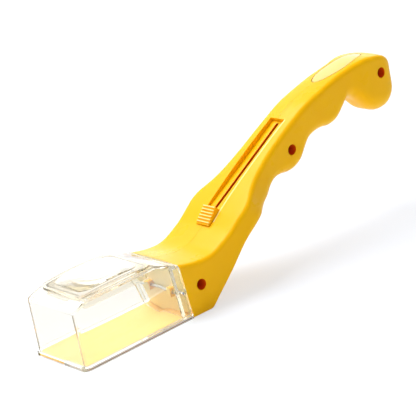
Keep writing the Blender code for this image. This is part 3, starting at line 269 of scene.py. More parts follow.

# %% [markdown]
# ## Moulded ABS
# The handle is moulded ABS, a slightly cloudy plastic. Light goes a millimetre or two into it
# before it comes back, so a little subsurface scattering, longest for red, warms the edges and
# the holes. The mould leaves a faint orange-peel wave of a few millimetres and a fine grain of
# a third of a millimetre. Handling makes the gloss uneven. All of these are noise textures
# whose scale is one over the real size, in Object coordinates, so they stay with the piece.
#
# Most of the handle is plain yellow, and the button is a little more amber. Some faces are
# painted for light and shade: the front wall behind the clear box is painted pale as the light
# that comes through the box, the slot's near rim and the button's crests are painted pale as
# highlights, the groove round the oval is painted in shade, and the screw recesses and the slit
# are painted red-amber as the shade in them, where light that goes far into yellow plastic
# loses its green.

# %% Moulded ABS
PEEL_SIZE = 0.0045
PEEL_DEPTH = 0.00006
GRAIN_SIZE = 0.00035
GRAIN_DEPTH = 0.000006
HANDLING_SIZE = 0.022
EDGE_ROUND = 0.0005
SCATTER_SIZE = 0.0025
SCATTER_BY_COLOR = (1.0, 0.70, 0.08)
USUAL_NOISE = (0.3, 0.7)
ROUGHNESS_DRIFT = (-0.05, 0.06)
ABS_IOR = 1.53
ABS_SHEEN = 0.09


def noise(tree, place, size, detail=2.0):
    """Noise whose features are about one size across."""
    inputs = {"Vector": place, "Scale": 1 / size, "Detail": detail}
    return add_node(tree, "TexNoise", inputs)["Fac"]


def mottle(tree, color, shade, share):
    """A colour that drifts to a shade of itself: one minus the share of it, plus the share."""
    inputs = {0: share, 6: linear(color), 7: linear(shade)}
    return add_node(tree, "Mix", inputs, data_type="RGBA")[2]


def bump(tree, height, distance, **under):
    """A normal tilted by the slope of height times distance, over another normal if given."""
    return add_node(tree, "Bump", {"Height": height, "Distance": distance, **under})["Normal"]


def moulded_plastic(name, color, shade, roughness, scatter):
    """A moulded plastic: uneven colour and gloss, orange peel, grain and softened edges."""
    material, tree, shader = new_material(name)
    place = add_node(tree, "TexCoord", {})["Object"]
    handling = noise(tree, place, HANDLING_SIZE, 3.0)
    smoother, rougher = (roughness + change for change in ROUGHNESS_DRIFT)
    rounded = add_node(tree, "Bevel", {"Radius": EDGE_ROUND}, samples=4)["Normal"]
    waves = bump(tree, noise(tree, place, PEEL_SIZE), PEEL_DEPTH, Normal=rounded)
    pits = bump(tree, noise(tree, place, GRAIN_SIZE), GRAIN_DEPTH, Normal=waves)
    fill(
        shader,
        {
            "Base Color": mottle(tree, color, shade, handling),
            "Roughness": remap(tree, handling, *USUAL_NOISE, smoother, rougher),
            "Normal": pits,
            "IOR": ABS_IOR,
            "Specular IOR Level": ABS_SHEEN,
            "Subsurface Weight": scatter,
            "Subsurface Radius": SCATTER_BY_COLOR,
            "Subsurface Scale": SCATTER_SIZE,
        },
    )
    return material


print("orange peel:", 1000 * PEEL_SIZE, "mm, grain:", 1000 * GRAIN_SIZE, "mm across")

# %% The colours of ABS and acetal
yellow_abs = moulded_plastic("yellow moulded ABS", "#FFBE00", "#FCB900", 0.30, 0.25)
amber_abs = moulded_plastic("amber moulded ABS", "#FFBE10", "#FCB80C", 0.30, 0.25)
inlay_abs = moulded_plastic("polished pale yellow ABS", "#F4D080", "#F2CB76", 0.18, 0.15)
# Painted light, for the front wall seen through the clear box.
painted_light_abs = moulded_plastic("ABS front wall painted pale as light through the box", "#FFF0B4", "#FFECA8", 0.3, 0.1)
# Painted highlight, for the slot's near rim and the button's crests.
painted_highlight_abs = moulded_plastic("ABS painted pale as a highlight", "#FFE590", "#FFDF84", 0.22, 0.1)
shaded_abs = moulded_plastic("shaded amber groove of the ABS", "#B89400", "#B08C00", 0.4, 0.0)
# Painted shade, for the screw recesses and the slit.
red_amber_shade_abs = moulded_plastic("ABS painted red-amber as shade in holes", "#F45C00", "#E04C00", 0.4, 0.1)
white_acetal = moulded_plastic("white moulded acetal", "#E8E7DE", "#DEDDD2", 0.42, 0.1)
abs_kinds = yellow_abs, amber_abs, inlay_abs, painted_light_abs, painted_highlight_abs, shaded_abs, red_amber_shade_abs
print("moulded plastics:", [m.name for m in (*abs_kinds, white_acetal)])

# %% [markdown]
# ## Clear styrene and acrylic
# The box, its rails and the lens frame are moulded clear styrene, and the lens is polished
# acrylic. Both are glass to the renderer: full transmission and the plastic's own IOR, with
# walls of real thickness, so the edges bend the light as the real ones do. A shadow ray would
# be stopped by glass, and the lemon floor would go dark, so it passes as through clear film.
# Fine scratches and flow marks from the mould show as a slight change of gloss.
#
# Clear plastic is never quite clear. It takes out a little light for each millimetre, so a
# wall seen flat on looks white, and light that runs along a wall and out at its edge comes
# back cream to grey. That haze is what draws the box against white paper. The lens frame is a
# shade warmer. The downward faces at the lowest rim of its skirt are rougher and tinted darker,
# as painted shade.

# %% Clear plastics
SCRATCH_SIZE = 0.0012
SCRATCH_NOISE = (0.45, 0.75)
SCRATCH_ROUGHNESS = 0.05
FLOW_SIZE = 0.018
FLOW_DEPTH = 0.00002
STYRENE_IOR = 1.50
ACRYLIC_IOR = 1.49
HAZE_COLOR = "#E0DAC4"
FILM_COLOR = "#FBFBF8"


def clear_plastic(name, tint, ior, roughness, density):
    """A clear plastic that lets lamps through, with flow marks, scratches and a little haze.

    Light fades by e to the power of minus density times the metres that it travels inside.
    """
    material, tree, shader = new_material(name)
    place = add_node(tree, "TexCoord", {})["Object"]
    scratches = noise(tree, place, SCRATCH_SIZE, 4.0)
    scratched = roughness + SCRATCH_ROUGHNESS
    fill(
        shader,
        {
            "Base Color": linear(tint),
            "Roughness": remap(tree, scratches, *SCRATCH_NOISE, roughness, scratched),
            "Normal": bump(tree, noise(tree, place, FLOW_SIZE, 1.0), FLOW_DEPTH),
            "IOR": ior,
            "Transmission Weight": 1.0,
        },
    )
    film = add_node(tree, "BsdfTransparent", {"Color": linear(FILM_COLOR)})["BSDF"]
    shadow = add_node(tree, "LightPath", {})["Is Shadow Ray"]
    passing = mix_shaders(tree, shadow, shader.outputs["BSDF"], film)
    haze = add_node(tree, "VolumeAbsorption", {"Color": linear(HAZE_COLOR), "Density": density})
    fill(tree.nodes["Material Output"], {"Surface": passing, "Volume": haze["Volume"]})
    return material


clear_styrene = clear_plastic("clear moulded styrene", "#FBFBF8", STYRENE_IOR, 0.01, 32.0)
frame_styrene = clear_plastic("clear styrene frame", "#F4F0E4", STYRENE_IOR, 0.01, 44.0)
# Rough and tinted darker, as painted shade for the frame's lowest rim.
shaded_rim_styrene = clear_plastic(
    "clear styrene rim tinted as painted shade", "#A89C80", STYRENE_IOR, 0.35, 32.0
)
clear_acrylic = clear_plastic("clear polished acrylic", "#FEFEFE", ACRYLIC_IOR, 0.0, 20.0)
clear = clear_styrene, frame_styrene, shaded_rim_styrene, clear_acrylic
print("clear plastics:", [m.name for m in clear])

# %% [markdown]
# ## Polypropylene and metal
# The trapdoor is cut from translucent lemon polypropylene, which is satin from the rollers
# that pressed it: its marks are long and thin, so the noise is stretched along the tool. Its
# cut edges are painted darker than its faces, as painted shade. The screws are zinc-plated
# steel, the cross pin is drawn steel and the rivet is aluminium, all with a metal's own colour
# in the reflection and streaks from the plating or the die.

# %% Lemon polypropylene
ROLLER_SIZE = 0.003
ROLLER_STRETCH = (0.12, 1.0, 1.0)
STREAK_DEPTH = 0.000004
SATIN_ROUGHNESS = (0.34, 0.5)
SHEET_IOR = 1.49
SHEET_SHEEN = 0.2
SHEET_SCATTER = 0.3
SHEET_SCATTER_BY_COLOR = (1.0, 0.8, 0.3)
SHEET_SCATTER_SIZE = 0.0015


def streaks_along(tree, size, stretch):
    """Noise in streaks: where a number of the stretch is small, it runs on for longer."""
    place = add_node(tree, "TexCoord", {})["Object"]
    drawn = add_node(tree, "Mapping", {"Vector": place, "Scale": stretch})["Vector"]
    return noise(tree, drawn, size, 3.0)


def rolled_sheet(name, color, shade):
    """Satin sheet plastic: long soft streaks in its gloss, and a little light inside it."""
    material, tree, shader = new_material(name)
    streaks = streaks_along(tree, ROLLER_SIZE, ROLLER_STRETCH)
    fill(
        shader,
        {
            "Base Color": mottle(tree, color, shade, streaks),
            "Roughness": remap(tree, streaks, *USUAL_NOISE, *SATIN_ROUGHNESS),
            "Normal": bump(tree, streaks, STREAK_DEPTH),
            "IOR": SHEET_IOR,
            "Specular IOR Level": SHEET_SHEEN,
            "Subsurface Weight": SHEET_SCATTER,
            "Subsurface Radius": SHEET_SCATTER_BY_COLOR,
            "Subsurface Scale": SHEET_SCATTER_SIZE,
        },
    )
    return material


edge_shade_polypropylene = rolled_sheet("polypropylene edge darkened as painted shade", "#D89A3C", "#CE9034")
lemon_polypropylene = rolled_sheet("lemon rolled polypropylene", "#F8C87E", "#F6C274")
print("sheet plastics:", lemon_polypropylene.name, "and", edge_shade_polypropylene.name)

# %% Steel and aluminium
ROUGHNESS_SPREAD = 0.08


def drawn_metal(name, color, roughness, streak_size, stretch):
    """A metal whose gloss is streaked along the way it was drawn, turned or plated."""
    material, tree, shader = new_material(name)
    streaks = streaks_along(tree, streak_size, stretch)
    polished, dull = roughness - ROUGHNESS_SPREAD, roughness + ROUGHNESS_SPREAD
    fill(
        shader,
        {
            "Base Color": linear(color),
            "Metallic": 1.0,
            "Roughness": remap(tree, streaks, *USUAL_NOISE, polished, dull),
            "Normal": bump(tree, streaks, STREAK_DEPTH),
        },
    )
    return material


zinc_steel = drawn_metal("zinc-plated steel", "#C9CACB", 0.36, 0.0006, (1.0, 1.0, 1.0))
drawn_steel = drawn_metal("bright drawn steel", "#BEBFC1", 0.30, 0.0005, (1.0, 0.08, 1.0))
aluminium = drawn_metal("formed aluminium", "#DADBDC", 0.38, 0.0006, (1.0, 1.0, 1.0))
print("metals:", [m.name for m in (zinc_steel, drawn_steel, aluminium)])

# %% [markdown]
# ## Mesh helpers
# Almost every new piece here is a stack of closed rings of points, one ring to a row of an
# array. One function turns such an array into a closed body: quads between the rings, and a
# fan to a middle point at each end, so that no seam or pole is left open. Its normals are
# then turned outwards, and edges sharper than an angle stay crisp.

# %% Mesh helpers
CRISP_DEG = 35.0
FIRST_RING = 0.04


def ring_faces(rows, columns):
    """Quads between neighbouring rings, then a fan of triangles to a pole at each end."""
    row, column = np.meshgrid(np.arange(rows - 1), np.arange(columns), indexing="ij")
    after = (column + 1) % columns
    low = row * columns
    high = low + columns
    quads = np.stack([low + column, low + after, high + after, high + column], axis=-1)
    around = np.arange(columns)
    last = (rows - 1) * columns
    start_pole = np.full(columns, rows * columns)
    end_pole = start_pole + 1
    start_fan = np.stack([start_pole, np.roll(around, -1), around], axis=-1)
    end_fan = np.stack([end_pole, last + around, last + np.roll(around, -1)], axis=-1)
    return quads.reshape(-1, 4).tolist() + start_fan.tolist() + end_fan.tolist()


def shade(mesh, crisp_deg=CRISP_DEG):
    """Turns the faces outwards and shades them smooth, with crisp edges past an angle."""
    shape = bmesh.new()
    shape.from_mesh(mesh)
    bmesh.ops.recalc_face_normals(shape, faces=shape.faces)
    shape.to_mesh(mesh)
    shape.free()
    mesh.shade_smooth()
    mesh.set_sharp_from_angle(angle=math.radians(crisp_deg))


def body_from_rings(name, rings):
    """A closed body through an array of rings: rows, points round a row, x y z."""
    rows, columns = rings.shape[:2]
    poles = np.stack([rings[0].mean(axis=0), rings[-1].mean(axis=0)])
    points = np.vstack([rings.reshape(-1, 3), poles])
    mesh = bpy.data.meshes.new(name)
    mesh.from_pydata(points.tolist(), [], ring_faces(rows, columns))
    shade(mesh)
    return mesh


def place_piece(name, mesh, material, body, node):
    """Links a finished mesh, paints it, attaches it to the body it rides on and hides its node.
    """
    piece = place_object(name, mesh)
    mesh.materials.clear()
    mesh.materials.append(material)
    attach(piece, body)
    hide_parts(node)
    print(name, "has", len(mesh.polygons), "faces and rides on", body)
    return piece


print("edges sharper than", CRISP_DEG, "degrees stay crisp")

# %% [markdown]
# ## The handle's outline
# The handle is one loft. At each share of its length, tables give the top line, the under line
# with its finger hollows, the width, how far the section leans and how round its edges are. A
# cubic curve through each table keeps the surface smooth where the tables are coarse.

# %% Tables of the handle
BOX_LENGTH = 0.0952
GAP = 0.0003
HANDLE_LENGTH = 0.2396
HANDLE_HEIGHT = 0.1217
NECK_HALF_WIDTH = 0.0315
HANDLE_START = BOX_LENGTH + GAP
HALF_LENGTH = (HANDLE_START + HANDLE_LENGTH) / 2
MOUTH_X = HANDLE_START - HALF_LENGTH
BUTT_START_SHARE = 0.885
BUTT_MIDDLE_SHARE = 0.816
BUTT_END_SHARE = 0.9997
TOP_POWER = 4.0
UNDER_POWER = 3.0
SIDE_POWER = 5.0

TOP_SHARES = (
    (-0.012, 0.344), (0.029, 0.326), (0.064, 0.316), (0.100, 0.316), (0.130, 0.331),
    (0.156, 0.355), (0.188, 0.388), (0.234, 0.455), (0.298, 0.538), (0.383, 0.640),
    (0.537, 0.808), (0.606, 0.874), (0.688, 0.926), (0.749, 0.957), (0.811, 0.979),
    (0.885, 0.998), (0.937, 0.986), (1.010, 0.966),
)
UNDER_SHARES = (
    (0.000, 0.000), (0.074, 0.000), (0.108, 0.055), (0.167, 0.150), (0.245, 0.284),
    (0.291, 0.342), (0.342, 0.388), (0.370, 0.419), (0.398, 0.442), (0.425, 0.486),
    (0.453, 0.513), (0.479, 0.516), (0.517, 0.507), (0.547, 0.516), (0.573, 0.545),
    (0.595, 0.598), (0.614, 0.640), (0.644, 0.668), (0.678, 0.676), (0.712, 0.670),
    (0.746, 0.687), (0.773, 0.730), (0.800, 0.780), (0.822, 0.776), (0.845, 0.745),
    (0.866, 0.699), (0.885, 0.660), (0.907, 0.634), (0.950, 0.611), (1.000, 0.590),
)
# Half-width along the handle: shares of its length, then of the neck's half-width
WIDTH_SHARES = (
    (0.000, 0.939), (0.126, 0.964), (0.200, 0.977), (0.258, 0.988), (0.288, 0.999),
    (0.314, 0.973), (0.336, 0.914), (0.355, 0.829), (0.393, 0.698), (0.468, 0.570),
    (0.543, 0.526), (0.630, 0.508), (0.727, 0.490), (0.800, 0.472), (0.825, 0.477),
    (0.850, 0.505), (0.896, 0.518), (0.944, 0.506), (1.000, 0.490),
)
# How much wider the neck is at its foot than at its top, in the same shares
FLARE_SHARES = ((0.000, 0.043), (0.150, 0.035), (0.288, 0.028), (0.370, 0.000), (1.000, 0.000))
# How far each section's top stands in front of its foot, in shares of the length
LEAN_SHARES = (
    (0.000, 0.0099), (0.051, 0.004), (0.145, -0.002), (0.201, 0.006), (0.314, 0.042),
    (0.483, 0.055), (0.614, 0.039), (0.746, 0.022), (0.802, -0.002), (0.896, -0.002),
    (1.000, 0.000),
)
# Radius of the top and foot edges, in shares of the neck's half-width
TOP_RADIUS_SHARES = ((0.000, 0.100), (0.352, 0.115), (0.539, 0.120), (1.000, 0.115))
FOOT_RADIUS_SHARES = (
    (0.000, 0.044), (0.089, 0.049), (0.183, 0.115), (0.352, 0.248), (0.539, 0.292),
    (0.780, 0.310), (0.860, 0.370), (1.000, 0.390),
)
print("handle:", 1000 * HANDLE_LENGTH, "mm long,", 1000 * HANDLE_HEIGHT, "mm high")

# %% [markdown]
# ## Sections of the handle
# Every section is a rounded box on a line that leans from foot to top: a slightly crowned
# top, an arc down to the side, a straight side, an arc in to the foot, and a flat foot. The
# butt closes because its last sections shrink by the law of a rounded square. The same
# function, drawn in by the wall's thickness, gives the hollow inside.

# %% Sections of the handle
CROWN = 0.0010
LARGEST_RADIUS_SHARE = 0.42
MAIN_STATIONS = 190
BUTT_STATIONS = 26
BUTT_TURN_DEG = 89.4
TOP_POINTS = 12
ARC_POINTS = 9
SIDE_POINTS = 9
FOOT_POINTS = 9


def curve(shares, at):
    """A cubic through a table: each span eases between its ends and keeps their slopes."""
    places, values = np.array(shares).T
    slopes = np.gradient(values, places)
    i = np.clip(np.searchsorted(places, at) - 1, 0, len(places) - 2)
    step = places[i + 1] - places[i]
    t = (at - places[i]) / step
    ease = t * t * (3 - 2 * t)
    lead = t * (1 - t) ** 2 * step * slopes[i]
    trail = t * t * (t - 1) * step * slopes[i + 1]
    return values[i] + (values[i + 1] - values[i]) * ease + lead + trail


def arc(centre_y, centre_k, radius, start_deg, end_deg):
    """Centre plus radius times cosine and sine, for every section at once."""
    angle = np.radians(np.linspace(start_deg, end_deg, ARC_POINTS))
    return centre_y + radius * np.cos(angle), centre_k + radius * np.sin(angle)


def half_section(half_top, half_foot, height, top_radius, foot_radius):
    """Half of each section from its top middle round to its foot middle: y, then rise."""
    flat = half_top - top_radius
    shoulder = height - CROWN * (flat / half_top) ** 2
    across = np.linspace(0, 1, TOP_POINTS, endpoint=False) * flat
    upper = arc(flat, shoulder - top_radius, top_radius, 90, 0)
    lower = arc(half_foot - foot_radius, foot_radius, foot_radius, 0, -90)
    down = np.linspace(0, 1, SIDE_POINTS + 2)[1:-1]
    side = [u[:, -1:] + (v[:, :1] - u[:, -1:]) * down for u, v in zip(upper, lower)]
    inward = np.linspace(1, 0, FOOT_POINTS + 1)[1:] * (half_foot - foot_radius)
    rows_y = [across, upper[0], side[0], lower[0], inward]
    top_rise = height - CROWN * (across / half_top) ** 2
    rows_k = [top_rise, upper[1], side[1], lower[1], np.zeros_like(inward)]
    return np.hstack(rows_y), np.hstack(rows_k)


butt_height = HANDLE_HEIGHT * curve(TOP_SHARES, np.array([BUTT_START_SHARE]))[0]
print("top where the butt starts:", round(1000 * butt_height, 1), "mm up")


# %% Loft of the handle
def handle_lines(inset):
    """Where each section's foot and top middles are, once drawn in by an inset."""
    first = inset / HANDLE_LENGTH
    last = BUTT_END_SHARE - first
    main = np.linspace(first, BUTT_START_SHARE, MAIN_STATIONS)
    turn = np.sin(np.radians(np.linspace(0, BUTT_TURN_DEG, BUTT_STATIONS)))[1:]
    at = np.concatenate([main, BUTT_START_SHARE + (last - BUTT_START_SHARE) * turn])
    beyond = np.clip((at - BUTT_START_SHARE) / (last - BUTT_START_SHARE), 0, 1)
    lean = curve(LEAN_SHARES, at)
    foot = np.stack([at * HANDLE_LENGTH, np.maximum(curve(UNDER_SHARES, at), 0) * HANDLE_HEIGHT])
    top = np.stack([(at - lean) * HANDLE_LENGTH, curve(TOP_SHARES, at - lean) * HANDLE_HEIGHT])
    lift = (top - foot) / np.linalg.norm(top - foot, axis=0)
    foot = foot + inset * lift
    top = top - inset * lift
    middle = BUTT_MIDDLE_SHARE * HANDLE_HEIGHT
    top[1] = middle + (top[1] - middle) * (1 - beyond**TOP_POWER) ** (1 / TOP_POWER)
    foot[1] = middle + (foot[1] - middle) * (1 - beyond**UNDER_POWER) ** (1 / UNDER_POWER)
    shift = [[MOUTH_X], [0]]
    return at, beyond, foot + shift, top + shift, lift


def handle_sections(inset):
    """Half of every section as x, y, z, one row a station."""
    at, beyond, foot, top, lift = handle_lines(inset)
    height = np.linalg.norm(top - foot, axis=0)[:, None]
    narrow = (1 - beyond**SIDE_POWER) ** (1 / SIDE_POWER)
    half_top = (curve(WIDTH_SHARES, at) * NECK_HALF_WIDTH - inset) * narrow
    half_foot = half_top + curve(FLARE_SHARES, at) * NECK_HALF_WIDTH
    half_top, half_foot = half_top[:, None], half_foot[:, None]
    room = LARGEST_RADIUS_SHARE * np.minimum(height, 2 * half_top)
    radii = [
        np.clip((curve(shares, at) * NECK_HALF_WIDTH)[:, None] - inset, GAP, room)
        for shares in (TOP_RADIUS_SHARES, FOOT_RADIUS_SHARES)
    ]
    y, k = half_section(half_top, half_foot, height, *radii)
    x = foot[0][:, None] + lift[0][:, None] * k
    z = foot[1][:, None] + (top[1] - foot[1])[:, None] * k / height
    return np.stack([x, y, z], axis=-1)


outer_sections = handle_sections(0.0)
print("handle sections:", outer_sections.shape[0], "with", outer_sections.shape[1], "points each")

# %% [markdown]
# ## Two shells that meet
# The mould parts along the middle plane, and the shells meet there with hardly a gap. What
# shows is a fine V, because each edge leaves the mould with a small round. So each half's
# section starts and ends on the parting plane a little below the surface.

# %% Shell halves and the hollow
PARTING_GAP = 0.00002
PARTING_EDGE = 0.00016
PARTING_DEPTH = 0.00012


def half_rings(side):
    """Closed rings of one half: its section, and a bevelled edge at the parting plane."""
    rings = outer_sections.copy()
    rings[:, :, 1] = np.maximum(rings[:, :, 1], PARTING_EDGE)
    inward = rings[:, -1:] - rings[:, :1]
    inward = inward / np.linalg.norm(inward, axis=-1, keepdims=True) * PARTING_DEPTH
    edges = [rings[:, :1] + inward, rings[:, -1:] - inward]
    for edge in edges:
        edge[:, :, 1] = PARTING_GAP
    rings = np.concatenate([edges[0], rings, edges[1]], axis=1)
    rings[:, :, 1] *= side
    return rings


def whole_rings(sections):
    """Closed rings of both halves: the half sections and their mirror image."""
    mirrored = sections[:, -2:0:-1] * np.array((1, -1, 1))
    return np.concatenate([sections, mirrored], axis=1)


HANDLE_WALL = 0.0024
inner_sections = handle_sections(HANDLE_WALL)
hollow = body_from_rings("hollow", whole_rings(inner_sections))
print("hollow:", len(hollow.polygons), "faces")

# %% [markdown]
# ## Blocks, rods and ribbons to cut with
# The slot, the screw holes and the ribs are simple solids, so each is again a few rings. Those
# of the slide are worked out in its own frame, where the first number is the distance along
# the slot and the last is the rise square to it, and are then carried to the handle.

# %% Cutting solids
SLIDE_START_SHARE = (0.21745, 0.42235)
SLIDE_END_SHARE = (0.52440, 0.76425)
ROD_POINTS = 64
THIN_ROD_POINTS = 32
slide_x = MOUTH_X + SLIDE_START_SHARE[0] * HANDLE_LENGTH
slide_start = np.array((slide_x, 0, SLIDE_START_SHARE[1] * HANDLE_HEIGHT))
slide_run = (SLIDE_END_SHARE[0] - SLIDE_START_SHARE[0]) * HANDLE_LENGTH
slide_climb = (SLIDE_END_SHARE[1] - SLIDE_START_SHARE[1]) * HANDLE_HEIGHT
TRAVEL = math.hypot(slide_run, slide_climb)
along = np.array((slide_run, 0, slide_climb)) / TRAVEL
square = np.array((-along[2], 0, along[0]))


def on_slide(points):
    """Points given as distance along, y and rise, carried into the handle's slot."""
    points = np.asarray(points, float)
    return slide_start + points @ np.stack([along, (0, 1, 0), square])


def block_rings(low, high):
    """A block between two corners: a rectangle at each end of its first axis."""
    (x0, y0, z0), (x1, y1, z1) = low, high
    ring = np.array([(0, y0, z0), (0, y1, z0), (0, y1, z1), (0, y0, z1)])
    return np.stack([ring + (x0, 0, 0), ring + (x1, 0, 0)])


def slide_block(low, high):
    """The same block, given in the slide's own frame."""
    return on_slide(block_rings(low, high))


def circle(radius, points):
    """Radius times the cosine and the sine of an even turn, as two rows."""
    turn = np.linspace(0, 2 * np.pi, points, endpoint=False)
    return radius * np.cos(turn), radius * np.sin(turn)


def rod_rings(radius, ends, x, z, points=ROD_POINTS):
    """A rod along Y: the same circle at each end."""
    out, up = circle(radius, points)
    return np.stack([np.stack([x + out, np.full(points, y), z + up], axis=-1) for y in ends])


def ribbon_rings(path, low, high, ends):
    """A strip that follows a path: a rectangle square to it at each point."""
    run = np.gradient(path, axis=0)
    run = run / np.linalg.norm(run, axis=1, keepdims=True)
    rise = np.stack([-run[:, 2], 0 * run[:, 0], run[:, 0]], axis=-1)
    sides = [path + rise * offset for offset in (low, low, high, high)]
    rings = np.stack(sides, axis=1)
    rings[:, :, 1] = np.array((ends[0], ends[1], ends[1], ends[0]))
    return rings


slope = math.degrees(math.asin(along[2]))
print("slide:", round(1000 * TRAVEL, 2), "mm at", round(slope, 2), "degrees")


# %% Exact cuts
def carve(name, mesh, removed=(), added=(), crisp_deg=CRISP_DEG):
    """A mesh with some solids joined to it and others cut from it, by exact Booleans."""
    body = place_object(name, mesh)
    groups = []
    for operation, tools in (("UNION", added), ("DIFFERENCE", removed)):
        if not tools:
            continue
        group = bpy.data.collections.new(operation)
        bpy.context.scene.collection.children.link(group)
        for tool in tools:
            group.objects.link(bpy.data.objects.new("tool", tool))
        cut = body.modifiers.new(operation, "BOOLEAN")
        cut.operation = operation
        cut.operand_type = "COLLECTION"
        cut.collection = group
        cut.solver = "EXACT"
        groups.append(group)
    bpy.context.view_layer.update()
    view = body.evaluated_get(bpy.context.evaluated_depsgraph_get())
    carved = bpy.data.meshes.new_from_object(view)
    for group in groups:
        for tool in list(group.objects):
            bpy.data.objects.remove(tool)
        bpy.data.collections.remove(group)
    bpy.data.objects.remove(body)
    carved.name = name
    shade(carved, crisp_deg)
    return carved


def solid(rings):
    """A closed body from rings, for cutting or joining."""
    return body_from_rings("solid", np.asarray(rings, float))


print("exact cuts go through a hollow of", len(hollow.polygons), "faces")

# %% [markdown]
# ## What is moulded inside the shells
# Down the middle of the hollow run the slot's trough, the tubes that take the screws and two
# ribs that steer the lemon sheet. They are left standing when the hollow is cut, as they are
# in the mould, so the hollow is carved with them first.

# %% The core of the handle
BUTTON_HALF_LENGTH = 0.00755
BUTTON_HALF_WIDTH = 0.0072
RECESS_SIDE_GAP = 0.0004
RECESS_END_GAP = 0.0005
RECESS_HEIGHT = 0.0144
TROUGH_WALL = 0.0017
TROUGH_FLOOR = 0.0016
TROUGH_HEAD = 0.0090
TROUGH_HEIGHT = 0.0096
GUIDE_DEPTH = 0.0030
SCREW_SHARES = {"front": (0.052, 0.171), "middle": (0.528, 0.6465), "rear": (0.9405, 0.867)}
SCREW_RECESS_RADIUS = 0.0040
SCREW_RECESS_FLOOR = 0.006
SCREW_SHANK_RADIUS = 0.0013
SCREW_LENGTH = 0.014
BOSS_WALL = 0.0013
NUT_BOSS_RADIUS = 0.0034
BOSS_LAP = 0.0001
REACH = 2 * NECK_HALF_WIDTH

screw_places = {
    name: (MOUTH_X + share * HANDLE_LENGTH, up * HANDLE_HEIGHT)
    for name, (share, up) in SCREW_SHARES.items()
}
recess_half = BUTTON_HALF_WIDTH + RECESS_SIDE_GAP
recess_end = TRAVEL + BUTTON_HALF_LENGTH + RECESS_END_GAP
trough = slide_block(
    (-TROUGH_HEAD, -recess_half - TROUGH_WALL, -TROUGH_FLOOR - GUIDE_DEPTH),
    (recess_end + TROUGH_WALL, recess_half + TROUGH_WALL, TROUGH_HEIGHT),
)
standing = [solid(trough)]
for place in screw_places.values():
    head = rod_rings(SCREW_RECESS_RADIUS + BOSS_WALL, (-REACH, BOSS_LAP), *place)
    nut = rod_rings(NUT_BOSS_RADIUS, (-BOSS_LAP, REACH), *place)
    standing += [solid(head), solid(nut)]
print("standing inside the shells:", len(standing), "solids")

# %% The strap's path and the guide ribs
SHEET_LOW = 0.0013
SHEET_THICKNESS = 0.0009
SHEET_HIGH = SHEET_LOW + SHEET_THICKNESS
SHEET_TAIL_LENGTH = 0.0097
STRAP_THICKNESS = 0.0008
STRAP_LAP = 0.006
STRAP_ENTRY_SHARE = 0.0751
STRAP_EXIT_SHARE = 0.0459
CARRIAGE_HALF_LENGTH = 0.008
CARRIAGE_THICKNESS = 0.0034
TONGUE_LENGTH = 0.007
RIB_CLEARANCE = 0.0016
RIB_THICKNESS = 0.0011
RIB_NEAR = 0.016
RIB_STEPS = 60
RIB_TRIM = 2

strap_rise = -TROUGH_FLOOR - CARRIAGE_THICKNESS - 2 * GAP - STRAP_THICKNESS / 2
tongue_front = -CARRIAGE_HALF_LENGTH - TONGUE_LENGTH


def strap_path(steps):
    """A cubic Bezier: level out of the sheet's tail, and in line with the slot at its end."""
    x = MOUTH_X + SHEET_TAIL_LENGTH
    leave = np.array((x, 0, SHEET_HIGH + GAP + STRAP_THICKNESS / 2))
    lead = leave + (STRAP_ENTRY_SHARE * HANDLE_LENGTH, 0, 0)
    trail = on_slide((tongue_front - STRAP_EXIT_SHARE * HANDLE_LENGTH, 0, strap_rise))
    arrive = on_slide((tongue_front, 0, strap_rise))
    t = np.linspace(0, 1, steps)[:, None]
    rest = 1 - t
    return leave * rest**3 + 3 * lead * t * rest**2 + 3 * trail * t**2 * rest + arrive * t**3


rib_offsets = RIB_CLEARANCE, RIB_CLEARANCE + RIB_THICKNESS
rib_path = strap_path(RIB_STEPS)[RIB_TRIM:-RIB_TRIM]
for ends in ((-REACH, -RIB_NEAR), (RIB_NEAR, REACH)):
    standing.append(solid(ribbon_rings(rib_path, *rib_offsets, ends)))
core = carve("core", hollow, removed=standing)
print("core:", len(core.polygons), "faces")

# %% [markdown]
# ## Cuts through the shells
# The thumb slot is a sunk track with a slit along its floor. The three screw holes are stepped
# tubes from the right. The oval near the butt sits in its own shallow pocket, which shows as a
# thin groove round it.

# %% The oval's surface
INLAY_CENTRE_SHARE = 0.818
INLAY_HALF_LENGTH = 0.0246
INLAY_HALF_WIDTH = 0.0093
INLAY_THICKNESS = 0.0012
INLAY_GROOVE = 0.0004
INLAY_EDGE_ROUND = 0.0003
OVERRUN = 0.003
OVAL_POINTS = 128
OVAL_RINGS = 12
OVAL_EDGE_RINGS = 6

oval_middle = MOUTH_X + INLAY_CENTRE_SHARE * HANDLE_LENGTH


def top_surface(x, y):
    """Height of the handle's top over a plan: its middle line, less the crown's parabola."""
    middle = outer_sections[:, 0]
    edge = outer_sections[:, TOP_POINTS]
    line = np.interp(x, middle[:, 0], middle[:, 2])
    sag = np.interp(x, middle[:, 0], (middle[:, 2] - edge[:, 2]) / edge[:, 1] ** 2)
    return line - sag * y**2


def oval_rings(grow, layers):
    """Closed rings of a plate under an oval: each layer is a share of its size and a drop."""
    cosine, sine = circle(1, OVAL_POINTS)
    rings = []
    for share, inward, drop in layers:
        x = oval_middle + share * (INLAY_HALF_LENGTH + grow - inward) * cosine
        y = share * (INLAY_HALF_WIDTH + grow - inward) * sine
        rings.append(np.stack([x, y, top_surface(x, y) - drop], axis=-1))
    return np.stack(rings)


pocket_depth = INLAY_THICKNESS + GAP
shares = np.linspace(FIRST_RING, 1, OVAL_RINGS)
pocket_layers = [(s, 0, -OVERRUN) for s in shares] + [(s, 0, pocket_depth) for s in shares[::-1]]
pocket = oval_rings(INLAY_GROOVE, pocket_layers)
print("oval pocket:", round(2000 * INLAY_HALF_LENGTH, 1), "mm long")

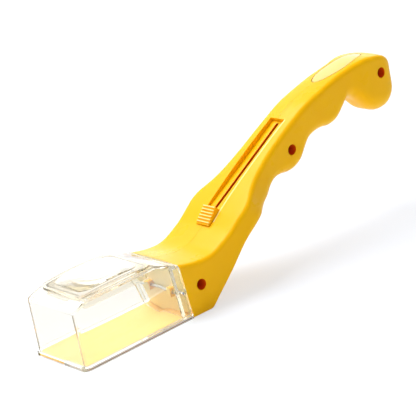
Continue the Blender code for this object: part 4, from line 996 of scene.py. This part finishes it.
# %% Cuts of both shells
PIN_RADIUS = 0.0011
PIN_HEIGHT = 0.020
PIN_SETBACK = 0.0018
REAR_LEAN = 0.0024
BOX_REAR_HEIGHT = 0.0410
REAR_POCKET_LENGTH = 0.0048
LUG_NEAR = 0.012
LUG_WIDTH = 0.005
LUG_MARGIN = 0.0022
SHEET_HALF_WIDTH = 0.0283
BLADE_HALF_LENGTH = 0.0055
SLIT_HALF_WIDTH = 0.0014
CARRIAGE_HALF_WIDTH = 0.006


def box_rear(station, height):
    """World x of a plane that leans forward with the box's rear wall."""
    return station - REAR_LEAN * height / BOX_REAR_HEIGHT - HALF_LENGTH


pin_x = box_rear(BOX_LENGTH, PIN_HEIGHT) - PIN_SETBACK
slit_end = BLADE_HALF_LENGTH + GAP
guide_half = CARRIAGE_HALF_WIDTH + GAP
channel_floor = -TROUGH_FLOOR - GUIDE_DEPTH - CARRIAGE_THICKNESS
cuts = [
    rod_rings(PIN_RADIUS + GAP, (-REACH, REACH), pin_x, PIN_HEIGHT),
    block_rings(
        (MOUTH_X - OVERRUN, -SHEET_HALF_WIDTH - GAP, SHEET_LOW - GAP),
        (MOUTH_X + SHEET_TAIL_LENGTH + OVERRUN, SHEET_HALF_WIDTH + GAP, SHEET_HIGH + GAP),
    ),
    slide_block(
        (-BUTTON_HALF_LENGTH - RECESS_END_GAP, -recess_half, 0),
        (recess_end, recess_half, RECESS_HEIGHT),
    ),
    slide_block(
        (-slit_end, -SLIT_HALF_WIDTH, -TROUGH_FLOOR - GAP),
        (TRAVEL + slit_end, SLIT_HALF_WIDTH, TROUGH_FLOOR),
    ),
    slide_block(
        (-TROUGH_HEAD - GAP, -guide_half, channel_floor),
        (recess_end + OVERRUN, guide_half, -TROUGH_FLOOR),
    ),
    pocket,
]
shank_ends = (-SCREW_RECESS_FLOOR - OVERRUN, SCREW_LENGTH - SCREW_RECESS_FLOOR + 2 * GAP)
for place in screw_places.values():
    cuts.append(rod_rings(SCREW_SHANK_RADIUS + GAP, shank_ends, *place, THIN_ROD_POINTS))
head_cuts = [
    rod_rings(SCREW_RECESS_RADIUS, (-REACH, -SCREW_RECESS_FLOOR), *place)
    for place in screw_places.values()
]
print("cuts in both shells:", len(cuts), "and in the right shell:", len(head_cuts))

# %% Painting by place
HIGHLIGHT_RIM_WIDTH = 0.0013
FACES_ONE_WAY = 0.8
HALF_FACING = 0.5
GROOVE_REACH = 1.01
GROOVE_FACING = -0.3
slide_axes = np.stack([along, (0, 1, 0), square]).T


def read_all(items, name, *width, kind=float):
    """One value, or a row of a few, from every face, edge or vertex of a mesh."""
    values = np.empty((len(items), *width), dtype=kind)
    items.foreach_get(name, values.ravel())
    return values


def face_facts(piece):
    """The middle and the normal of every face, as two arrays of points."""
    return [read_all(piece.data.polygons, name, 3) for name in ("center", "normal")]


def paint_faces(piece, chosen, material):
    """Adds a material to a piece and gives it to the chosen faces."""
    index = read_all(piece.data.polygons, "material_index", kind=np.int32)
    piece.data.materials.append(material)
    index[chosen] = len(piece.data.materials) - 1
    piece.data.polygons.foreach_set("material_index", index)
    print(piece.name, "has", int(chosen.sum()), "faces of", material.name)


def score_rim(mesh):
    """Splits the top faces along the slot's near edge, so that a band of painted highlight
    follows it.
    """
    shape = bmesh.new()
    shape.from_mesh(mesh)
    chosen = []
    for face in shape.faces:
        across, into, rise = (np.array(face.calc_center_median()) - slide_start) @ slide_axes
        if rise > GAP and -2 * BUTTON_HALF_LENGTH < across < recess_end + 2 * BUTTON_HALF_LENGTH:
            chosen.append(face)
    parts = set(chosen)
    for face in chosen:
        parts.update(face.edges)
        parts.update(face.verts)
    bmesh.ops.bisect_plane(
        shape,
        geom=list(parts),
        plane_co=(0, -recess_half - HIGHLIGHT_RIM_WIDTH, 0),
        plane_no=(0, 1, 0),
    )
    shape.to_mesh(mesh)
    shape.free()
    shade(mesh)


def paint_shell(piece, side):
    """Paints shade into a shell's recesses, slit and oval groove, and light onto its slot rim and
    front wall.
    """
    middles, facing = face_facts(piece)
    across, into, rise = ((middles - slide_start) @ slide_axes).T
    # Painted shade: the slit and the screw recesses go red-amber.
    hole_shade = (np.abs(into) < SLIT_HALF_WIDTH + GAP / 2) & (rise < -GAP / 2)
    hole_shade &= (rise > -TROUGH_FLOOR) & (np.abs(across - TRAVEL / 2) < TRAVEL / 2 + slit_end + GAP)
    for x, z in screw_places.values():
        reach = np.hypot(middles[:, 0] - x, middles[:, 2] - z)
        down = (np.abs(facing[:, 1]) < HALF_FACING) | (middles[:, 1] > -SCREW_RECESS_FLOOR - GAP)
        hole_shade |= down & (reach < SCREW_RECESS_RADIUS + GAP / 10) & (side < 0)
    paint_faces(piece, hole_shade, red_amber_shade_abs)
    # Painted highlight: a pale band along the slot's near rim.
    rim = (np.abs(into) < recess_half + HIGHLIGHT_RIM_WIDTH) & (np.abs(into) > recess_half)
    rim &= (facing @ square > FACES_ONE_WAY) & (rise > GAP)
    rim &= (across > -BUTTON_HALF_LENGTH) & (across < recess_end)
    paint_faces(piece, rim & (side < 0), painted_highlight_abs)
    # Painted light: the front wall behind the clear box goes pale.
    wall = (facing[:, 0] < -FACES_ONE_WAY) & (middles[:, 0] < MOUTH_X + HANDLE_WALL / 2)
    paint_faces(piece, wall, painted_light_abs)
    share = np.hypot(
        (middles[:, 0] - oval_middle) / (INLAY_HALF_LENGTH + INLAY_GROOVE),
        middles[:, 1] / (INLAY_HALF_WIDTH + INLAY_GROOVE),
    )
    low = top_surface(middles[:, 0], middles[:, 1]) - pocket_depth - GAP
    groove = (share < GROOVE_REACH) & (facing[:, 2] > GROOVE_FACING) & (middles[:, 2] > low)
    # Painted shade: the groove round the oval.
    paint_faces(piece, groove, shaded_abs)


print("painted highlight rim:", 1000 * HIGHLIGHT_RIM_WIDTH, "mm wide")

# %% The two shells
lug_x = box_rear(BOX_LENGTH - REAR_POCKET_LENGTH, PIN_HEIGHT - PIN_RADIUS - LUG_MARGIN) + GAP


def make_shell(name, side, cut_rings):
    """One half of the handle: its lug for the cross pin is joined, then all is cut."""
    near, far = sorted((side * LUG_NEAR, side * (LUG_NEAR + LUG_WIDTH)))
    margin = PIN_RADIUS + LUG_MARGIN
    lug = block_rings(
        (lug_x, near, PIN_HEIGHT - margin),
        (MOUTH_X + HANDLE_WALL / 2, far, PIN_HEIGHT + margin),
    )
    tools = [core.copy()] + [solid(rings) for rings in cut_rings]
    half = body_from_rings(name, half_rings(side))
    return carve(name, half, removed=tools, added=[solid(lug)])


for hand, side, cut_rings in (("right", -1, cuts + head_cuts), ("left", 1, cuts)):
    name, node = hand + "_shell", "handle_shell_" + hand
    shell_mesh = make_shell(name, side, cut_rings)
    if side < 0:
        score_rim(shell_mesh)
    shell = place_piece(name, shell_mesh, yellow_abs, "tool", node)
    paint_shell(shell, side)

# %% [markdown]
# ## Oval plate
# A smooth, paler plate fills the pocket. It follows the handle's top and has a small round
# along its rim, so the groove catches a line of light on one side and of shade on the other.

# %% Oval plate
rim = [
    (1, INLAY_EDGE_ROUND * (1 - math.sin(a)), INLAY_EDGE_ROUND * (1 - math.cos(a)))
    for a in np.radians(np.linspace(0, 90, OVAL_EDGE_RINGS))
]
plate_layers = (
    [(s, INLAY_EDGE_ROUND, 0) for s in shares[:-1]]
    + rim
    + [(s, 0, INLAY_THICKNESS) for s in shares[::-1]]
)
plate = body_from_rings("oval_plate", oval_rings(0, plate_layers))
oval_plate = place_piece("oval_plate", plate, inlay_abs, "tool", "oval_inlay")
# Painted shade: the plate's rim faces take the groove's shaded colour.
paint_faces(oval_plate, face_facts(oval_plate)[1][:, 2] < FACES_ONE_WAY, shaded_abs)

# %% [markdown]
# ## Thumb button
# The button is a wedge: low in front, high at the rear, with sides that lean in a little and
# six ridges across its slope for the thumb. Its side view is one line of points. Rows of that
# line are then laid from one side to the other: up the leaning wall, round the edge, across
# the top and down again. Below the wedge are the blade that goes through the slit and the barb
# that holds the carriage. The crests are painted paler, as painted highlights.

# %% Thumb button
BUTTON_FRONT_HEIGHT = 0.0018
BUTTON_REAR_HEIGHT = 0.0066
BUTTON_END_SLOPE = 0.0009
BUTTON_TAPER_SHARE = 0.08
BUTTON_EDGE_ROUND = 0.0006
RIDGE_COUNT = 6
RIDGE_HEIGHT = 0.0010
RIDGE_SPAN_SHARE = 0.90
RIDGE_MIDDLE = 0.5
RIDGE_SWING = 0.8
CREST_DEPTH_SHARE = 0.35
LARGEST_ROUND_SHARE = 0.45
BUTTON_CRISP_DEG = 50.0
BLADE_HALF_WIDTH = 0.0011
BARB_HALF_LENGTH = 0.0045
BARB_HALF_WIDTH = 0.0022
BARB_HEIGHT = 0.0010
SLOPE_POINTS = 181
END_POINTS = 8
WALL_ROWS = 6
ROUND_ROWS = 6
TOP_ROWS = 9


def crest_height(distance):
    """The wedge's top rises in a straight line from its front end to its rear end."""
    share = (distance + BUTTON_HALF_LENGTH) / (2 * BUTTON_HALF_LENGTH)
    return BUTTON_FRONT_HEIGHT + (BUTTON_REAR_HEIGHT - BUTTON_FRONT_HEIGHT) * share


def button_line():
    """Side view of the wedge: low front, rising top with eased cosine ridges, steep rear."""
    front, rear = -BUTTON_HALF_LENGTH + GAP / 2, BUTTON_HALF_LENGTH - BUTTON_END_SLOPE
    x = np.linspace(front, rear, SLOPE_POINTS)
    turns = x / (2 * BUTTON_HALF_LENGTH * RIDGE_SPAN_SHARE) * RIDGE_COUNT
    swell = np.clip(RIDGE_MIDDLE - RIDGE_SWING * np.cos(2 * np.pi * turns), 0, 1)
    z = crest_height(x) - RIDGE_HEIGHT * (1 - swell * swell * (3 - 2 * swell))
    climb = np.linspace(0, 1, END_POINTS, endpoint=False)
    front_x = -BUTTON_HALF_LENGTH + climb * GAP / 2
    front_z = GAP + (z[0] - GAP) * climb
    rear_x = BUTTON_HALF_LENGTH - BUTTON_END_SLOPE * climb[::-1]
    rear_z = GAP + (z[-1] - GAP) * climb[::-1]
    line_x = np.concatenate([front_x, x, rear_x])
    return line_x, np.concatenate([front_z, z, rear_z])


def button_half_width(z):
    """The cap is widest at its foot and narrows by a share of its height."""
    return BUTTON_HALF_WIDTH * (1 - BUTTON_TAPER_SHARE * (z - GAP) / BUTTON_REAR_HEIGHT)


def button_rings():
    """Rows of the side view from one side to the other: wall, rounded edge, top, edge, wall."""
    x, line = button_line()
    radius = np.minimum(BUTTON_EDGE_ROUND, LARGEST_ROUND_SHARE * (line - GAP))
    shoulder = line - radius
    edge = button_half_width(shoulder) - radius
    rows = []
    for share in np.linspace(FIRST_RING, 1, WALL_ROWS):
        z = GAP + share * (shoulder - GAP)
        rows.append((button_half_width(z), z))
    for angle in np.radians(np.linspace(0, 90, ROUND_ROWS + 1)[1:]):
        rows.append((edge + radius * math.cos(angle), shoulder + radius * math.sin(angle)))
    for share in np.linspace(1, 0, TOP_ROWS + 1)[1:]:
        rows.append((edge * share, line))
    half = [np.stack([x, y, z], axis=-1) for y, z in rows]
    mirrored = [row * (1, -1, 1) for row in half[-2::-1]]
    return np.stack(half + mirrored)


cap = solid(on_slide(button_rings()))
print("button cap:", len(cap.polygons), "faces")

# %% Blade and barb
under = -TROUGH_FLOOR - GAP - CARRIAGE_THICKNESS - GAP
blade = slide_block(
    (-BLADE_HALF_LENGTH, -BLADE_HALF_WIDTH, under - BARB_HEIGHT / 2),
    (BLADE_HALF_LENGTH, BLADE_HALF_WIDTH, BUTTON_FRONT_HEIGHT / 2),
)
barb = slide_block(
    (-BARB_HALF_LENGTH, -BARB_HALF_WIDTH, under - BARB_HEIGHT),
    (BARB_HALF_LENGTH, BARB_HALF_WIDTH, under),
)
joined = [solid(blade), solid(barb)]
button_mesh = carve("ridged_button", cap, added=joined, crisp_deg=BUTTON_CRISP_DEG)
button = place_piece(
    "ridged_button", button_mesh, amber_abs, "slider", "thumb_button"
)
middles, facing = face_facts(button)
distance, _, rise = ((middles - slide_start) @ slide_axes).T
crest = crest_height(distance) - CREST_DEPTH_SHARE * RIDGE_HEIGHT
# Painted highlight: the crests of the ridges go pale.
paint_faces(button, (rise > crest) & (facing @ square > HALF_FACING), painted_highlight_abs)

# %% [markdown]
# ## Lens
# The lens is flat below and domed above. Over its plan, a rounded rectangle, the dome drops
# with the square of the distance from the middle, more towards the ends than to the sides.

# %% Lens
BOX_ROOF_HEIGHT = 0.0473
FRAME_FRONT = 0.1313 * BOX_LENGTH
FRAME_LENGTH = 0.6534 * BOX_LENGTH
LENS_HALF_LENGTH = 0.791 * FRAME_LENGTH / 2
LENS_HALF_WIDTH = 0.0199
LENS_CORNER_RADIUS = 0.008
LENS_SEAT_RISE = 0.0017
LENS_DOME_RISE = 0.0052
LENS_END_SAG = 0.0022
LENS_SIDE_SAG = 0.0012
CORNER_POINTS = 20
EDGE_POINTS = 24
LENS_RINGS = 24


def rounded_rectangle(half_x, half_y, radius):
    """Plan of a rounded rectangle: a quarter circle at each corner and points between them."""
    quarter = np.linspace(0, 90, CORNER_POINTS)
    sides = []
    corners = ((1, 1, 0), (-1, 1, 90), (-1, -1, 180), (1, -1, 270))
    for x_sign, y_sign, start in corners:
        turn = np.radians(start + quarter)
        x = x_sign * (half_x - radius) + radius * np.cos(turn)
        y = y_sign * (half_y - radius) + radius * np.sin(turn)
        sides.append(np.stack([x, y], axis=-1))
    between = np.linspace(0, 1, EDGE_POINTS + 2)[1:-1, None]
    plan = []
    for side, after in zip(sides, sides[1:] + sides[:1]):
        plan += [side, side[-1] + (after[0] - side[-1]) * between]
    return np.vstack(plan)


lens_plan = rounded_rectangle(LENS_HALF_LENGTH, LENS_HALF_WIDTH, LENS_CORNER_RADIUS)
lens_middle = FRAME_FRONT + FRAME_LENGTH / 2 - HALF_LENGTH


def lens_rings():
    """Rings from the flat's middle out to the rim, and back over the dome."""
    steps = np.linspace(FIRST_RING, 1, LENS_RINGS)
    rings = []
    for share, domed in [(s, False) for s in steps] + [(s, True) for s in steps[::-1]]:
        x, y = (lens_plan * share).T
        ends = LENS_END_SAG * (x / LENS_HALF_LENGTH) ** 2
        sag = ends + LENS_SIDE_SAG * (y / LENS_HALF_WIDTH) ** 2
        top = BOX_ROOF_HEIGHT + LENS_DOME_RISE - sag
        z = top if domed else np.full_like(x, BOX_ROOF_HEIGHT + LENS_SEAT_RISE)
        rings.append(np.stack([x + lens_middle, y, z], axis=-1))
    return np.stack(rings)


lens_mesh = body_from_rings("domed_lens", lens_rings())
place_piece(
    "domed_lens", lens_mesh, clear_acrylic, "tool", "magnifier_lens"
)

# %% [markdown]
# ## Lemon floor
# The trapdoor's sheet is thin and bends up into the neck as the button is drawn back. Here it
# is built flat, from its front edge into the neck, and rides on the tool. Its strap is built
# once along its curve, from the sheet's tail to the slider. The sheet's cut edges are painted
# darker, as painted shade.

# %% Floor sheet
SHEET_FRONT = 0.0042
SHEET_CORNER_RADIUS = 0.003
SHEET_LENGTH = HANDLE_START + SHEET_TAIL_LENGTH - SHEET_FRONT
SHEET_ROWS = 160
SHEET_COLUMNS = 41
SHEET_CORNER_ROWS = 12
SHEET_EDGE_POINTS = 7


def sheet_rings():
    """Sections across the sheet, front to back: flat faces and a half-round thin edge."""
    corner = np.linspace(0, SHEET_CORNER_RADIUS, SHEET_CORNER_ROWS)[:-1]
    rest = np.linspace(SHEET_CORNER_RADIUS, SHEET_LENGTH, SHEET_ROWS)
    x = np.concatenate([corner, rest])
    short = np.clip(SHEET_CORNER_RADIUS - x, 0, None)
    half = SHEET_HALF_WIDTH - SHEET_CORNER_RADIUS
    half = half + np.sqrt(SHEET_CORNER_RADIUS**2 - short**2)
    radius = SHEET_THICKNESS / 2
    across = np.linspace(-1, 1, SHEET_COLUMNS)
    edge = np.radians(np.linspace(-90, 90, SHEET_EDGE_POINTS)[1:-1])
    flat = (half - radius)[:, None]
    bulge = radius * np.cos(edge)
    y = [flat * across, flat + bulge, -flat * across, -flat - bulge]
    low = np.full_like(across, -radius)
    z = [low, radius * np.sin(edge), -low, -radius * np.sin(edge)]
    y = np.hstack(y)
    z = np.broadcast_to(np.concatenate(z), y.shape) + SHEET_LOW + radius
    x = np.broadcast_to((x + SHEET_FRONT - HALF_LENGTH)[:, None], y.shape)
    return np.stack([x, y, z], axis=-1)


sheet_mesh = body_from_rings("floor_sheet", sheet_rings())
sheet = place_piece(
    "floor_sheet", sheet_mesh, lemon_polypropylene, "tool", "trapdoor_sheet"
)
middles, facing = face_facts(sheet)
# Painted shade: the sheet's edges are darker than its faces.
paint_faces(sheet, np.abs(facing[:, 2]) < FACES_ONE_WAY, edge_shade_polypropylene)
sheet_rear = HANDLE_START + SHEET_TAIL_LENGTH - HALF_LENGTH
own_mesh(sheet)

# %% Strap
STRAP_HALF_WIDTH = 0.005
RIVET_CLEARANCE = 0.0013
STRAP_STEPS = 140
STRAP_LAP_STEPS = 8
STRAP_TAIL_STEPS = 20

lap_start = np.array((sheet_rear - STRAP_LAP, 0, SHEET_HIGH + GAP + STRAP_THICKNESS / 2))
bend = strap_path(STRAP_STEPS)
strap_end = on_slide((-CARRIAGE_HALF_LENGTH - 2 * GAP, 0, strap_rise))
on_sheet = np.linspace(0, 1, STRAP_LAP_STEPS, endpoint=False)[:, None]
lap = lap_start + (bend[0] - lap_start) * on_sheet
tail = bend[-1] + (strap_end - bend[-1]) * np.linspace(0, 1, STRAP_TAIL_STEPS)[1:, None]
strap_line = np.vstack([lap, bend, tail])
half_thickness = STRAP_THICKNESS / 2
strap_rings = ribbon_rings(
    strap_line, -half_thickness, half_thickness, (-STRAP_HALF_WIDTH, STRAP_HALF_WIDTH)
)
rivet_middle = -CARRIAGE_HALF_LENGTH - TONGUE_LENGTH / 2
away, aside = circle(RIVET_CLEARANCE, THIN_ROD_POINTS)
rivet_circle = np.stack([rivet_middle + away, aside, 0 * away + strap_rise], axis=-1)
rivet_hole = np.stack([rivet_circle + (0, 0, rise) for rise in (-OVERRUN, OVERRUN)])
strap_mesh = carve("strap", solid(strap_rings), removed=[solid(on_slide(rivet_hole))])
strap = place_object("bending_strap", strap_mesh)
strap_mesh.materials.append(lemon_polypropylene)
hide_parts("drive_strap")
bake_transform(strap)
print("strap:", len(strap_mesh.polygons), "faces")

# %% [markdown]
# ## Rounded copies
# The clear box, its rails and frame, the lip and the small fittings already have their true
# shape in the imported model, as loose triangles. Each is copied, welded, and its flat faces are
# put back together. A narrow bevel then rounds every edge as a mould or a tumbler leaves it,
# which is what makes clear plastic show its edges as bright and dark lines. The long edges of
# the clear box, above its foot flange, get a wider round first.

# %% Rounded copies
SHORTEST_CORNER = 0.02
LOWEST_CORNER = 0.012
WELD = 0.00001
FLAT_DEG = 0.5
EDGE_STEPS = 3
CORNER_STEPS = 4


def add_bevel(piece, name, width, steps, limit):
    """Rounds a piece's edges in a few steps: the weighted ones, or those past the angle."""
    bevel = piece.modifiers.new(name, "BEVEL")
    bevel.width = width
    bevel.segments = steps
    bevel.limit_method = limit
    bevel.angle_limit = math.radians(CRISP_DEG)
    bevel.harden_normals = True


def round_corners(piece, radius):
    """A wider round on the box's corners: its long edges above the foot flange."""
    ends = read_all(piece.data.edges, "vertices", 2, kind=np.int32)
    pairs = read_all(piece.data.vertices, "co", 3)[ends]
    length = np.linalg.norm(pairs[:, 1] - pairs[:, 0], axis=1)
    tall = (length > SHORTEST_CORNER) & (pairs[:, :, 2].mean(axis=1) > LOWEST_CORNER)
    weights = piece.data.attributes.new("bevel_weight_edge", "FLOAT", "EDGE")
    weights.data.foreach_set("value", tall.astype(np.float32))
    add_bevel(piece, "corners", radius, CORNER_STEPS, "WEIGHT")
    print(piece.name, "has", int(tall.sum()), "corners rounded to", 1000 * radius, "mm")


def rounded_copy(name, node, material, body, slot, width, corner=0.0):
    """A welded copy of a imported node, with its edges rounded by a bevel of a few steps."""
    shape = bmesh.new()
    shape.from_mesh(nodes[node].data)
    bmesh.ops.remove_doubles(shape, verts=shape.verts, dist=WELD)
    bmesh.ops.dissolve_limit(
        shape, angle_limit=math.radians(FLAT_DEG), verts=shape.verts, edges=shape.edges
    )
    points = [tuple(vertex.co) for vertex in shape.verts]
    shape.verts.index_update()
    faces = [[vertex.index for vertex in face.verts] for face in shape.faces]
    shape.free()
    mesh = bpy.data.meshes.new(name)
    mesh.from_pydata(points, [], faces)
    shade(mesh)
    piece = place_piece(name, mesh, material, body, node)
    if corner:
        round_corners(piece, corner)
    add_bevel(piece, "edges", width, EDGE_STEPS, "ANGLE")
    return piece


print("copies are welded at", 1000 * WELD, "mm")

# %% Box, rails and frame
EDGE = 0.0003
CORNER = 0.0015
FACES_DOWN = -0.7
rounded_copy(
    "clear_box", "capture_box", clear_styrene, "tool", "clear_styrene", EDGE, corner=CORNER
)
for hand in ("right", "left"):
    rail = hand + "_rail", "door_rail_" + hand
    rounded_copy(*rail, clear_styrene, "tool", "clear_styrene", EDGE)
frame_copy = rounded_copy(
    "clear_frame", "lens_frame", frame_styrene, "tool", "clear_styrene", EDGE
)
middles, facing = face_facts(frame_copy)
rim_level = middles[:, 2].min() + EDGE
# Painted shade: the downward faces at the frame's lowest rim are tinted darker.
paint_faces(frame_copy, (facing[:, 2] < FACES_DOWN) & (middles[:, 2] < rim_level), shaded_rim_styrene)

# %% Fittings
FINE_EDGE = 0.00012
lip_edge = 2 * FINE_EDGE
lip = "front_lip", "trapdoor_front_lip"
rounded_copy(*lip, lemon_polypropylene, "trapdoor", "lemon_lip", lip_edge)
rounded_copy("cross_pin", "box_retaining_pin", drawn_steel, "tool", "bright_steel", FINE_EDGE)
rounded_copy("carriage", "slider_carriage", white_acetal, "slider", "acetal", FINE_EDGE)
rounded_copy("rivet", "strap_rivet", aluminium, "slider", "rivet_aluminium", FINE_EDGE)
for spot in ("front", "middle", "rear"):
    name = "shell_screw_" + spot
    rounded_copy(spot + "_screw", name, zinc_steel, "tool", "zinc_steel", FINE_EDGE)
